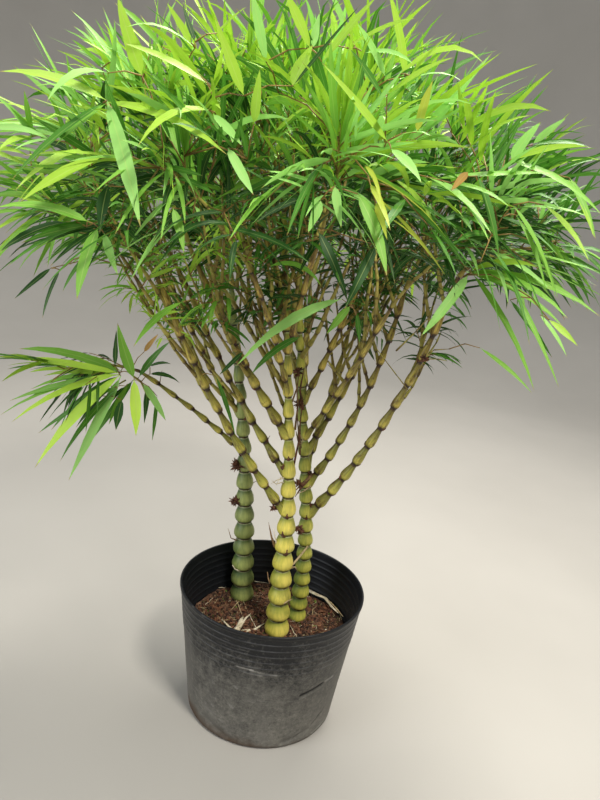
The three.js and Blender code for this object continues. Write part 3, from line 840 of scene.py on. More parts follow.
# The low cluster at the left, seen from its two hubs.
lowLeftLeaves = [
    ((120, 372), (19, 347), 20, 0, 16, "bright", 0.5),
    ((119, 373), (2, 371), 10, -20, 14, "lime", 0.45),
    ((119, 374), (11, 418), 10, -30, 15, "lime", 0.5),
    ((120, 375), (29, 462), 10, -50, 22, "lime", 0.3),
    ((121, 376), (73, 483), 10, -30, 19, "pale", 0.25),
    ((121, 371), (60, 352), 40, 70, 12, "fresh", 0.4),
    ((122, 372), (30, 395), 40, 60, 13, "bright", 0.5),
    ((134, 378), (111, 324), 10, -10, 19, "bright", 0.15),
    ((134, 380), (140, 436), 0, -20, 20, "lime", 0.25),
    ((143, 384), (165, 421), 10, 0, 13, "pale", 0.4),
    ((139, 377), (167, 337), 20, 30, 12, "middle", 0.2),
    ((133, 380), (100, 440), 30, 40, 13, "middle", 0.4),
    ((144, 352), (159, 335), 30, 30, 9, "dry", 0.3),
    ((117, 388), (55, 457), 0, -20, 11, "middle", 0.3),
    ((117, 386), (38, 434), 0, -20, 11, "middle", 0.3),
    ((122, 400), (114, 430), 0, -10, 15, "deep", 0.2),
    ((150, 374), (178, 386), 30, 20, 8, "deep", 1.1),
    ((118, 372), (78, 354), 20, 30, 7, "deep", 0.4),
    ((120, 374), (12, 415), 20, 0, 12, "bright", 0.5),
    ((157, 396), (154, 441), 20, 10, 7, "middle", 0.3),
    ((119, 375), (2, 420), 15, 10, 9, "bright", 0.6),
    ((115, 366), (117, 330), 10, 0, 9, "deep", 0.2),
    ((150, 366), (171, 364), 20, 10, 6, "deep", 0.7),
    ((126, 386), (92, 420), 10, 10, 10, "deep", 0.3),
    ((120, 373), (44, 372), 30, 40, 12, "fresh", 0.3),
    ((119, 376), (48, 424), 20, 20, 11, "middle", 0.4),
    ((128, 384), (108, 424), 20, 10, 12, "bright", 0.3),
    ((147, 386), (146, 424), 30, 20, 9, "deep", 0.3),
    ((110, 384), (78, 430), 10, 10, 9, "deep", 0.3),
]

# Thin stems and dry twigs between the boughs: places in pixels, depths of foot and tip, diameters.
thinStems = [
    (((301, 358), (311, 343), (320, 328), (326, 313), (336, 290), (350, 262)), (50, -60), (9, 5)),
    (((300, 346), (308, 333), (313, 318), (325, 288), (340, 257)), (52, 90), (8, 4.5)),
    (((289, 326), (295, 305), (300, 268), (302, 238)), (-8, -40), (8, 4.5)),
    (((287, 352), (274, 331), (270, 318), (260, 296), (246, 265), (237, 213), (227, 196)),
     (-9, -60), (10, 5)),
    (((239, 412), (217, 389), (204, 377), (192, 347), (178, 324), (170, 300), (160, 270)),
     (95, 40), (9, 5)),
    (((289, 392), (270, 365), (245, 321), (220, 282), (199, 255)), (-8, 70), (10, 5.5)),
    (((396, 351), (412, 337), (420, 326), (430, 316)), (-40, -60), (3, 1.4)),
    (((376, 324), (368, 310), (360, 295)), (20, 10), (3, 1.6)),
    (((408, 390), (385, 360), (361, 328)), (-50, -70), (2, 1.2)),
    (((344, 382), (336, 372), (328, 361)), (30, 25), (6, 4.5)),
    (((424, 359), (434, 350), (449, 349)), (-60, -70), (2.6, 1.4)),
    (((424, 359), (438, 359), (447, 361)), (-60, -50), (2.2, 1.2)),
    (((150, 400), (141, 382), (128, 372)), (30, 20), (5, 3)),
    (((126, 380), (112, 388), (102, 396)), (20, 0), (2.6, 1.8)),
]


def outness(point, radii):
    # 1 on the dome of these radii, less inside it
    x, y, z = ((point[i] / mm - crown["centre"][i]) / radii[i] for i in range(3))
    return math.sqrt(x * x + y * y + max(z, 0) ** 2)


def inBox(point, margin):
    return all(cadLow[i] + margin * mm < point[i] < cadHigh[i] - margin * mm for i in range(3))


def inWood(point):
    return inBox(point, foliage["woodMargin"]) and outness(point, crown["woodRadii"]) < 1


class Foliage:
    def __init__(self, seed):
        self.random = random.Random(seed)
        self.bearing = 0
        self.stems = []  # places and radii, thick to thin
        self.twigs = []
        self.leaves = {name: [] for name in leafTints}
        self.cells = {}  # how many sprays each cube of the crown holds

    def between(self, low, high):
        return low + (high - low) * self.random.random()

    def nextBearing(self):
        self.bearing += goldenAngle
        return self.bearing

    def isLeafy(self, place):
        # few sprays hang low under the crown, and more of them at its sides and its back
        aside = (place.x / mm - crown["centre"][0]) / crown["woodRadii"][0]
        drop = foliage["rimDrops"][0 if aside < 0 else 1]
        behind = (place.y / mm - crown["centre"][1]) / crown["woodRadii"][1] + 0.3
        lowest = foliage["lowestFoot"] - drop * max(abs(aside) - 0.35, 0) / 0.65
        lowest -= foliage["backDrop"] * clamp(behind)
        share = (place.z / mm - lowest) / foliage["lowFade"]
        return self.random.random() < max(share, 0.03)

    def addTwig(self, places, radii):
        self.twigs.append((places, [radius * mm for radius in radii]))

    def growStem(self, foot, way, goal, length, diameters, joints):
        # a stem that turns from one heading to another and stops where the crown's wood ends
        places, headings = [foot], [way]
        for joint in range(1, joints + 1):
            heading = way.lerp(goal, math.sqrt(joint / joints)).normalized()
            swing = headingOf(self.between(0, 360), 90) * foliage["stemSwing"]
            place = places[-1] + (heading + swing).normalized() * length * mm / joints
            if joint > 2 and not inWood(place):
                break
            places.append(place)
            headings.append(heading)
        last = len(places) - 1
        radii = [along(diameters, joint / last) / 2 * mm for joint in range(last + 1)]
        self.stems.append((places, radii))
        return places, headings

    def growTip(self, limb, spray, isLow):
        # a stem carries on from the limb's tip, and twigs branch from its joints
        azimuth, lean, length = spray
        thickness = limbRadius(limb, limb["joints"] - 1, 0) * 2 / mm
        diameters = (min(thickness, foliage["stemDiameters"][0]), foliage["stemDiameters"][1])
        places, headings = self.growStem(
            limb["places"][-1], limb["headings"][-1], headingOf(azimuth, lean), length, diameters,
            foliage["stemJoints"])
        for joint in range(1, len(places)):
            share = (joint - 1) / max(len(places) - 2, 1)
            turn = up.rotation_difference(headings[joint])
            for _ in range(1 if isLow else foliage["twigsPerJoint"]):
                twigLean = along(foliage["twigLeans"], share) + self.between(-8, 8)
                twigLength = along(foliage["twigLengths"], share) * self.between(0.7, 1.2)
                way = turn @ headingOf(self.nextBearing(), twigLean)
                if self.random.random() < foliage["lowTwigs"] if isLow else self.isLeafy(places[joint]):
                    self.growTwig(places[joint], way, twigLength)

    def growSides(self, limb):
        # side stems leave the limb's upper nodes; their joints bear twigs, or sprigs low down
        first = math.ceil(limb["joints"] * foliage["sideStemFrom"])
        for node in range(first, limb["joints"]):
            foot, way = limb["places"][node], limb["headings"][node]
            isTooLow = foot.z < foliage["sideStemLowest"] * mm
            if isTooLow or self.random.random() < foliage["sideStemSkipped"]:
                continue
            outward = headingOf(self.nextBearing(), 90)
            start = (way + outward * 0.8).normalized()
            goal = (start + up * 1.3 + outward * 0.2).normalized()
            places, headings = self.growStem(
                foot, start, goal, self.between(*foliage["sideStemLengths"]),
                foliage["sideStemDiameters"], foliage["sideStemJoints"])
            for place, heading in list(zip(places, headings))[3:]:
                bearing = self.nextBearing()
                turn = up.rotation_difference(heading)
                twigWay = turn @ headingOf(bearing, self.between(25, 60))
                if self.isLeafy(place):
                    self.growTwig(place, twigWay, self.between(*foliage["sideTwigLengths"]), 0.9, 1)
                else:
                    self.growSprig(place, turn @ headingOf(bearing, self.between(50, 100)))

    def growTwig(self, foot, way, length, scale=1.0, sprays=2, shade=None):
        while length > 12 and not inWood(foot + way * length * mm):
            length *= 0.7
        tip = foot + way * length * mm
        lift = up * foliage["twigLift"] * length * mm
        places = [foot, foot.lerp(tip, 0.35) + lift * 0.6, foot.lerp(tip, 0.7) + lift, tip + lift]
        self.addTwig(places, [along(foliage["twigDiameters"], i / 3) / 2 for i in range(4)])
        back = (places[3] - places[2]).normalized()
        self.growSpray(places[3], way, scale, back, shade)
        if sprays > 1:
            side = self.random.choice((-1, 1)) * self.between(25, 60)
            turned = Quaternion(up, math.radians(side)) @ way
            middle = foot.lerp(tip, self.between(0.35, 0.6)) + lift
            end = middle + turned * self.between(18, 40) * mm
            self.addTwig([middle, middle.lerp(end, 0.5), end], (0.8, 0.7, 0.6))
            self.growSpray(end, turned, scale * 0.92, turned)

    def growSprig(self, foot, way):
        # a small sprig between the boughs, in painted shade but for those at the left, painted lit
        low, high = foliage["innerSpan"]
        if low < foot.z / mm < high and self.random.random() < foliage["innerSprigs"]:
            atLeft = foot.x / mm < crown["centre"][0] - 60
            shades = ("middle", "bright", "fresh") if atLeft else ("deep", "deep", "middle")
            length = self.between(*foliage["sprigLengths"])
            self.growTwig(foot, way, length, foliage["sprigScale"], 1, self.random.choice(shades))

    def chooseTint(self, place):
        # painted light: sprays high up and far out get the lit tints, those inside and below the shaded
        # ones, and those at the right are shaded more
        out = outness(place, crown["woodRadii"]) + self.between(-0.4, 0.45)
        x, _, z = (place / mm - Vector(crown["centre"])) / crown["woodRadii"][0]
        out += clamp((z - 0.12) * (1.1 - abs(x)), -0.5, 0.2) - max(x, 0) * 0.32
        chance = self.random.random()
        if chance < 0.1:
            return "pale"
        if chance > 0.99:
            return "yellow"
        if out > 1.12:
            return "fresh"
        if out > 0.86:
            return "bright"
        return "middle" if out > 0.62 else "deep"

    def cellOf(self, place):
        return tuple(math.floor(value / (foliage["cell"] * mm)) for value in place)

    def growSpray(self, foot, way, scale, back, shade=None):
        cell = self.cellOf(foot)
        held = self.cells.get(cell, 0)
        if held >= foliage["cellSprays"]:
            return
        self.cells[cell] = held + 1
        scale *= 0.62 + 0.38 * min(outness(foot, crown["woodRadii"]), 1)
        shade = shade or self.chooseTint(foot)
        count = self.random.randint(*foliage["sprayLeaves"])
        plane = (up + headingOf(self.between(0, 360), 90) * self.between(0, 0.9)).normalized()
        high = clamp((foot.z / mm - 850) / 300)
        droop = self.between(0.15, 1.5 - 0.8 * high)
        hand = self.random.choice((-1, 1))
        for i in range(count):
            hand = -hand
            spread = 0 if i == 0 else hand * self.between(foliage["leafSpread"], foliage["leafSpread"] + 32)
            heading = Quaternion(plane, math.radians(spread + self.between(-8, 8))) @ way
            heading = (heading + up * self.between(-0.3, 0.12 + 0.3 * high)).normalized()
            root = foot - back * i * foliage["leafGap"] * mm
            length = self.between(*foliage["leafLengths"]) * scale * (0.8 if i == 0 else 1)
            self.addLeaf(root, heading, plane, length, shade, droop * self.between(0.5, 1.4))

    def addLeaf(self, root, heading, plane, length, shade, droop):
        for _ in range(4):
            sag = Vector((0, 0, -foliage["leafSag"] * droop))
            tip = root + (heading + sag).normalized() * length * mm
            if inBox(tip, foliage["boxMargin"]) and outness(tip, crown["radii"]) < 1:
                break
            length *= foliage["leafShrink"]
        else:
            return
        width = self.between(*foliage["leafWidths"]) * (0.55 + 0.45 * length / 115)
        roll = self.between(-1, 1) * foliage["leafRoll"]
        side = Quaternion(heading, math.radians(roll)) @ heading.cross(plane).normalized()
        self.keepLeaf(shade, root, heading, side, length, width, droop, self.between(-50, 50))

    def keepLeaf(self, shade, root, heading, side, length, width, droop, twist):
        sizes = (length * mm, width * mm, droop, math.radians(twist), self.random.random())
        self.leaves[shade].append((*root, *heading, *side, *sizes))

    def placeLeaf(self, root, tip, width, shade, arch):
        # a leaf from one place to another, its broad side turned to the front and up
        chord = tip - root
        heading = (chord.normalized() + up * foliage["leafSag"] * arch).normalized()
        facing = Vector((self.between(-0.3, 0.3), -1, self.between(0.5, 1.1)))
        side = heading.cross(facing).normalized()
        length = chord.length / mm * (1 + 0.05 * arch * arch)
        self.keepLeaf(shade, root, heading, side, length, width, arch, self.between(-22, 22))

    def fillCrown(self):
        # twigs from the nearest wood fill the crown's open cubes, each with a spray that looks out
        spots = [spot for places, _ in self.stems for spot in places[1:]]
        spots += [places[2] for places, _ in self.twigs if len(places) == 4]
        wood = KDTree(len(spots))
        for number, spot in enumerate(spots):
            wood.insert(spot, number)
        wood.balance()
        centre = Vector(crown["centre"]) * mm
        lowest = (foliage["lowestFoot"] - foliage["rimDrops"][1]) * mm
        reach = [radius * mm for radius in crown["woodRadii"]]
        nearest, furthest = (away * mm for away in foliage["fillReach"])
        for _ in range(foliage["fillTries"]):
            x, y = (centre[i] + self.between(-1, 1) * reach[i] for i in (0, 1))
            place = Vector((x, y, self.between(lowest, centre.z + reach[2])))
            isShell = outness(place, crown["woodRadii"]) > self.between(0.1, 0.85)
            isFree = self.cells.get(self.cellOf(place), 0) == 0
            if not (inWood(place) and isShell and isFree and self.isLeafy(place)):
                continue
            foot, _, away = wood.find(place - up * 25 * mm)
            if not nearest < away < furthest:
                continue
            outward = (place - centre) * Vector((1, 1, 0.75))
            swing = headingOf(self.between(0, 360), self.between(60, 120)) * 0.5
            way = (outward.normalized() + (place - foot).normalized() * 0.6 + swing).normalized()
            middle = foot.lerp(place, 0.55) + up * away * 0.12
            self.addTwig([foot, middle, place], (1.1, 0.9, 0.65))
            self.growSpray(place, way, 1.0, (place - middle).normalized())

    def carry(self, place):
        # a thin twig joins a place to the nearest wood that lies below it or further in
        def away(spot):
            return (spot - place).length + max(spot.z - place.z, 0) * 2 + max(place.y - spot.y, 0)

        foot = min((spot for spots, _ in self.stems + self.twigs for spot in spots[1:]), key=away)
        middle = foot.lerp(place, 0.5) + up * (foot - place).length * 0.1
        self.addTwig([foot, middle, place], (1.0, 0.8, 0.55))

    def placeStem(self, spots, depths, diameters):
        last = len(spots) - 1
        places = [placeAt(spot, along(depths, i / last)) for i, spot in enumerate(spots)]
        joints = max(round((places[0] - places[-1]).length / mm / foliage["thinStemJoint"]), 2)
        shares = [joint / joints for joint in range(joints + 1)]
        radii = [along(diameters, share) / 2 * mm for share in shares]
        self.stems.append(([along(places, share) for share in shares], radii))

    def placeFront(self, leaves, shift=0):
        margin = foliage["boxMargin"] * mm
        for root, tip, rootDepth, tipDepth, width, shade, arch in leaves:
            start, end = placeAt(root, rootDepth + shift), placeAt(tip, tipDepth + shift)
            end = Vector([clamp(end[i], cadLow[i] + margin, cadHigh[i] - margin) for i in range(3)])
            self.carry(start)
            self.placeLeaf(start, end, width * (foliage["frontWidth"] if shift else 1), shade, arch)


def unit(vectors):
    return vectors / np.maximum(np.linalg.norm(vectors, axis=-1, keepdims=True), 1e-9)


def leafArrays(rows):
    # every leaf bends down and twists along its length, folded a little along its midrib
    rows = np.array(rows)
    root, way, side = rows[:, 0:3], rows[:, 3:6], rows[:, 6:9]
    length, width, droop, twist, chance = rows[:, 9:].T
    stations, halves = np.array(leafShape["stations"]), np.array(leafShape["halfWidths"])
    centres, tangents = [root], [way]
    for before, now in zip(stations, stations[1:]):
        middle = (before + now) / 2
        bend = (droop * middle ** 1.4)[:, None] * np.array([0.0, 0.0, -1.0])
        sway = ((chance - 0.5) * 0.5 * middle)[:, None] * side
        tangent = unit(way + bend + sway)
        centres.append(centres[-1] + tangent * (length * (now - before))[:, None])
        tangents.append(tangent)
    count, last = len(rows), len(stations) - 1
    vertices = np.zeros((count, 3 * last + 1, 3))
    uv = np.zeros((count, 3 * last + 1, 2))
    for step, (station, half) in enumerate(zip(stations, halves)):
        tangent = tangents[step]
        across = unit(side - tangent * np.sum(side * tangent, axis=1, keepdims=True))
        normal = np.cross(across, tangent)
        angle = (twist * station)[:, None]
        cosine, sine = np.cos(angle), np.sin(angle)
        across, normal = across * cosine + normal * sine, normal * cosine - across * sine
        reach = across * (half * width / 2)[:, None]
        raised = normal * (half * width / 2 * foliage["leafFold"])[:, None]
        wave = np.sin(station * 9 + chance * 40)[:, None] * reach * 0.09
        if step == last:
            vertices[:, -1] = centres[step]
            uv[:, -1] = (0.5, 1)
            continue
        for column, hand in enumerate((-1, 0, 1)):
            vertices[:, step * 3 + column] = centres[step] + hand * (reach + wave) + abs(hand) * raised
            uv[:, step * 3 + column] = (0.5 + hand / 2, station)
    faces = []
    for step in range(last - 1):
        for low in (step * 3, step * 3 + 1):
            faces.append((low, low + 1, low + 4, low + 3))
    end = (last - 1) * 3
    faces += [(end, end + 1, end + 3), (end + 1, end + 2, end + 3)]
    size = 3 * last + 1
    every = [tuple(leaf * size + corner for corner in face) for leaf in range(count) for face in faces]
    return vertices.reshape(-1, 3), every, uv.reshape(-1, 2)


def tubeArrays(paths, sides, facing=None, flat=1):
    # many thin closed tubes in one mesh, each a list of places with a radius at each; a strip is a
    # tube whose broad side looks one way
    vertices, faces, uv = [], [], []
    angles = [math.tau * side / sides for side in range(sides)]
    for places, radii in paths:
        start = len(vertices)
        ways = [(b - a).normalized() for a, b in zip(places, places[1:])]
        ways = [ways[0], *((a + b).normalized() for a, b in zip(ways, ways[1:])), ways[-1]]
        x = ways[0].orthogonal().normalized()
        for ring, (place, radius, way) in enumerate(zip(places, radii, ways)):
            x = facing.cross(way).normalized() if facing else (x - way * x.dot(way)).normalized()
            y = way.cross(x)
            for step, angle in enumerate(angles):
                vertices.append(place + (x * math.cos(angle) + y * math.sin(angle) * flat) * radius)
                uv.append((step / sides, ring))
        for ring in range(len(places) - 1):
            for side in range(sides):
                low, after = start + ring * sides + side, start + ring * sides + (side + 1) % sides
                faces.append((low, after, after + sides, low + sides))
        top = start + (len(places) - 1) * sides
        faces.append(tuple(range(start + sides - 1, start - 1, -1)))
        faces.append(tuple(range(top, top + sides)))
    return vertices, faces, uv


def jointed(places, radii, swell):
    # the same stem with a swelling at each joint and its foot drawn in
    shaped, sizes = [], []
    for (a, b), (ra, rb) in zip(zip(places, places[1:]), zip(radii, radii[1:])):
        for at, size in ((0, 1 - swell), (0.08, 1 + swell), (0.3, 1 + swell * 0.6), (0.7, 1 - swell * 0.6)):
            shaped.append(a.lerp(b, at))
            sizes.append((ra + (rb - ra) * at) * size)
    shaped.append(places[-1])
    sizes.append(radii[-1] * 0.6)
    return shaped, sizes


def growFoliage(limbs, sprays):
    growth = Foliage(foliage["seed"])
    for name, limb in limbs.items():
        isLow = name == "bough_left_lowest"
        growth.growTip(limb, sprays[name], isLow)
        if not isLow:
            growth.growSides(limb)
    growth.fillCrown()
    for spots, depths, diameters in thinStems:
        growth.placeStem(spots, depths, diameters)
    growth.placeFront(frontLeaves, foliage["frontShift"])
    growth.placeFront(lowLeftLeaves)
    return growth


def makeFoliage(growth, masses):
    stems = [jointed(places, radii, 0.16) for places, radii in growth.stems]
    arrayPiece("foliageStems", *tubeArrays(stems, 8), barkSkin("stemSkin"), "bough", masses)
    arrayPiece("foliageTwigs", *tubeArrays(growth.twigs, 5), barkSkin("twigSkin"), "leaf", masses)
    total = 0
    for name, rows in growth.leaves.items():
        if rows:
            blade = leafBlade("leafBlade_" + name, *leafTints[name])
            arrayPiece("leaves_" + name, *leafArrays(rows), blade, "leaf", masses)
            total += len(rows)
            print("leaves", name, len(rows))
    print("leaves in all", total, "stems", len(growth.stems), "twigs", len(growth.twigs))


# Pot: a soft wall with moulded rings, worked out from the solid's own sizes.

pot = {
    "height": 270,
    "rimRadius": 175,
    "footRadius": 143.5,
    "depthRatio": 0.89,
    "wall": 2.4,
    "floor": 3,
    "footRounding": 9,
    "lipHeight": 7,
    "lipOut": 1.8,
    "sides": 300,
    "ringTop": 264.3,
    "ringBand": 86,  # below the top ring, outside
    "insideBand": 102,
    "ringSpacing": 13.3,
    "ringHeight": 1.1,
    "wobble": 1.3,
    "mostPush": 1.6,  # outwards
}

# Scratches, dents and creases on the wall: both ends in pixels, half width and depth in
# millimetres, and how much paler or darker they are; the pressed-in dents are darker as painted shade.
potMarks = [
    ((236, 666), (252, 670), 1.5, 0, 0.6),
    ((250, 670), (276, 675.5), 1.4, 0, 0.8),
    ((243, 672), (262, 676), 1.2, 0, 0.5),
    ((301, 695.5), (323, 683), 2.6, -2.6, -1.6),
    ((302, 698), (322, 686), 2.4, 1.2, 0.2),
    ((322, 683), (333, 676), 1.8, 0.6, 0.8),
    ((311, 733), (319, 725), 2.2, 1.4, 0.35),
    ((318, 726), (326, 716), 2.0, 1.4, 0.4),
    ((312, 724), (322, 712), 3.0, -2.2, -0.4),
    ((318, 716), (326, 704), 2.6, -1.2, -0.2),
    ((283, 742), (306, 730), 5.0, -2.0, -0.25),
    ((213, 681), (214, 683), 3.0, 1.2, 0.25),
    ((218, 686), (226, 690), 3.4, -1.2, -0.25),
    ((235, 686), (237, 688), 2.6, 1.2, 0.4),
    ((247, 691), (252, 688), 1.8, 0.6, 0.2),
    ((250, 694), (254, 699), 4.0, -1.2, -0.35),
    ((248, 702), (254, 703), 1.8, 0.8, 0.25),
    ((229, 704), (233, 708), 2.4, 1.0, 0.35),
    ((212, 704), (213, 706), 2.0, 1.0, 0.3),
    ((268, 724), (272, 732), 2.6, 0.6, 0.15),
    ((219, 719), (223, 722), 2.6, 0.8, 0.2),
    ((205, 716), (228, 738), 7.0, -2.0, -0.15),
]


def wallRadius(z):
    share = z / pot["height"]
    return pot["footRadius"] + (pot["rimRadius"] - pot["lipOut"] - pot["footRadius"]) * share


def fromAxis(x, y):
    # how far a place lies from the pot's axis, as if the pot were round
    return math.hypot(x, y / pot["depthRatio"])


def ringsAt(z, band):
    # the moulded rings rise within their band and fade out at its lower edge
    below = pot["ringTop"] - z
    if not 0 < below < band:
        return 0
    wave = math.cos(below / pot["ringSpacing"] * math.tau)
    return pot["ringHeight"] * (0.5 + 0.5 * wave) ** 5 * min(1, (band - below) / 10, below / 6)


def potProfile():
    top, lipBase = pot["height"], pot["height"] - pot["lipHeight"]
    rounding = pot["footRounding"]
    outside = [(0, 0), (wallRadius(0) - rounding - 30, 0)]
    for step in range(7):
        turn = math.radians(90 * step / 6)
        z = rounding - rounding * math.cos(turn)
        outside.append((wallRadius(z) - rounding + rounding * math.sin(turn), z))
    z = rounding
    while z < lipBase - 3:
        z += 3 if z < lipBase - pot["ringBand"] else 1.5
        z = min(z, lipBase - 1)
        outside.append((wallRadius(z) + ringsAt(z, pot["ringBand"]), z))
    rim, wall, floor = pot["rimRadius"], pot["wall"], pot["floor"]
    lip = ((0.7, lipBase + 0.4), (0, lipBase + 2), (0, top - 1.6), (0.5, top - 0.5), (1.3, top),
           (3.2, top), (4.0, top - 0.6))
    inside = []
    z = top - 2
    while z > soilTop - 10:
        inside.append((wallRadius(z) - wall - ringsAt(z, pot["insideBand"]), z))
        z -= 1.5
    low = floor + rounding
    inside += [(wallRadius(low) - wall, low), (wallRadius(floor) - wall - rounding, floor), (0, floor)]
    return [*outside, *((rim - inset, z) for inset, z in lip), *inside]


def placeOnWall(pixel):
    # where the line of sight meets the wall's front
    near, far = -200.0, 0.0
    for _ in range(24):
        depth = (near + far) / 2
        spot = placeAt(pixel, depth) / mm
        isOutside = fromAxis(spot.x, spot.y) > wallRadius(spot.z)
        near, far = (depth, far) if isOutside else (near, depth)
    return placeAt(pixel, far)


def pressWall(place, marks):
    # the soft wall's wobble, dents and creases: a push outwards in millimetres, and a paler tone,
    # which is darker in pressed-in dents as painted shade
    angle, z = math.atan2(place.y, place.x), place.z / mm
    free = clamp((z - 20) / 60) * clamp((pot["height"] + 40 - z) / 120, 0.25)
    wave = noise.noise(Vector((math.cos(angle) * 1.6, math.sin(angle) * 1.6, z / 160)))
    push = wave * pot["wobble"] * free
    tone = 0
    for start, chord, halfWidth, depth, paler in marks if place.y < -0.02 else ():
        share = clamp((place - start).dot(chord) / chord.length_squared)
        away = (place - start - chord * share).length / mm / halfWidth
        if away < 2.5:
            push += depth * math.exp(-away * away)
            tone += paler * math.exp(-away * away)
    return push, tone


def makePot():
    marks = []
    for first, second, *rest in potMarks:
        start = placeOnWall(first)
        marks.append((start, placeOnWall(second) - start, *rest))
    tones = {}

    def press(vert):
        outward = Vector((vert.co.x, vert.co.y, 0))
        if vert.co.z > 2 * mm and outward.length > 0.1:
            push, tone = pressWall(vert.co, marks)
            vert.co += outward.normalized() * min(push, pot["mostPush"]) * mm
            tones[vert.index] = tone

    mesh = spunMesh("softPot", potProfile(), pot["sides"], pot["depthRatio"], press)
    inner = mesh.attributes.new("inner", "FLOAT", "POINT")
    # the marks' tone: paler scratches and raised creases, painted shade in the pressed-in dents
    worn = mesh.attributes.new("worn", "FLOAT", "POINT")
    for vert, isInner, value in zip(mesh.vertices, inner.data, worn.data):
        isInner.value = float((vert.normal.x * vert.co.x + vert.normal.y * vert.co.y) < -0.05)
        value.value = tones.get(vert.index, 0) * (1 - isInner.value)
    addPiece("softPot", mesh, potSkin(), ["pot"])


# Soil and what lies on it

soil = {
    "seed": 21,
    "rows": 46,
    "sides": 150,
    "gap": 0.6,  # to the wall's inside
    "lump": 6.5,
    "crumb": 1.6,
    "edgeRise": 9,  # towards the wall
    "heap": 3.5,  # round the culms
    "bits": 2600,
    "fibres": 900,
    "fibreLengths": (6, 26),
    "culmGap": 22,  # from a culm's middle to the bits
    "bitGap": 6,  # from bits and fibres to the wall's outside
    "stripGap": 7,  # from husks and straws to it
}

# Bits on the soil: light and dark colour, share of them all, and sizes.
litter = {
    "barkBits": ("7d5238", "38211a", 0.44, (3, 12)),
    "peatBits": ("3f291d", "190f0a", 0.36, (3, 9)),
    "strawBits": ("b8a384", "7d664a", 0.12, (1.5, 5)),
    "mossBits": ("6f8832", "3f551f", 0.11, (2, 5)),
}


def soilHeight(x, y):
    # the crumbly top, in millimetres above the solid's flat top
    place = Vector((x, y, 0)) * mm
    height = noise.fractal(place * 26, 1.0, 2.0, 4) * soil["lump"]
    height += noise.noise(place * 150) * soil["crumb"]
    out = fromAxis(x, y) / wallRadius(soilTop)
    height += soil["edgeRise"] * clamp((out - 0.6) / 0.35) ** 1.5
    for culm in culms.values():
        away = math.hypot(x - culm["foot"][0], y - culm["foot"][1])
        height += soil["heap"] * math.exp(-((away - 24) / 18) ** 2)
    return height


def makeSoil():
    low = pot["floor"] + 0.5
    edge = wallRadius(soilTop) - pot["wall"] - soil["gap"]
    profile = [(0, low), (wallRadius(low) - pot["wall"] - 12, low)]
    profile += [(wallRadius(z) - pot["wall"] - soil["gap"], z) for z in (14, 60, 110, 150, soilTop - 2)]
    profile += [(edge * (1 - row / soil["rows"]), soilTop) for row in range(1, soil["rows"] + 1)]

    def press(vert):
        if vert.co.z > (soilTop - 0.5) * mm:
            vert.co.z += soilHeight(vert.co.x / mm, vert.co.y / mm) * mm

    mesh = spunMesh("pottingSoil", profile, soil["sides"], pot["depthRatio"], press)
    addPiece("pottingSoil", mesh, soilSkin(), ["soil"])


def onSoil(rng, reach=0.96):
    # a place on the soil's top, clear of the culms, in millimetres
    while True:
        radius, turn = math.sqrt(rng.random()) * reach, rng.random() * math.tau
        x = radius * math.cos(turn) * (wallRadius(soilTop) - soil["bitGap"])
        y = radius * math.sin(turn) * (wallRadius(soilTop) - soil["bitGap"]) * pot["depthRatio"]
        feet = [culm["foot"] for culm in culms.values()]
        if all(math.hypot(x - foot[0], y - foot[1]) > soil["culmGap"] for foot in feet):
            return x, y


def makeLitter():
    rng = random.Random(soil["seed"])
    noise.seed_set(soil["seed"])  # else its vectors start from the clock
    for name, (light, dark, share, sizes) in litter.items():
        bm = bmesh.new()
        for _ in range(int(soil["bits"] * share)):
            x, y = onSoil(rng)
            size = rng.uniform(*sizes)
            place = Vector((x, y, soilTop + soilHeight(x, y) + size * 0.1)) * mm
            turn = Quaternion([rng.gauss(0, 1) for _ in range(4)]).normalized()
            width, height = size * rng.uniform(0.35, 0.8) * mm, size * rng.uniform(0.15, 0.5) * mm
            shape = Matrix.LocRotScale(place, turn, Vector((size * mm, width, height)))
            bmesh.ops.create_cube(bm, size=1, matrix=shape)
        for vert in bm.verts:
            vert.co += noise.noise_vector(vert.co * 400) * 0.7 * mm
        addPiece(name, meshFrom(bm, name), fibreSkin(name, light, dark, 0.9), smooth=False)


# Dry skins: light and dark colour of each kind.
drySkins = {
    "husk": ("e2d6bd", "b8a684"),
    "straw": ("c8b48c", "8f7750"),
    "sheath": ("96764e", "5a412a"),
    "root": ("7c4e38", "2c160f"),
    "twig": ("7a6136", "46331d"),
}

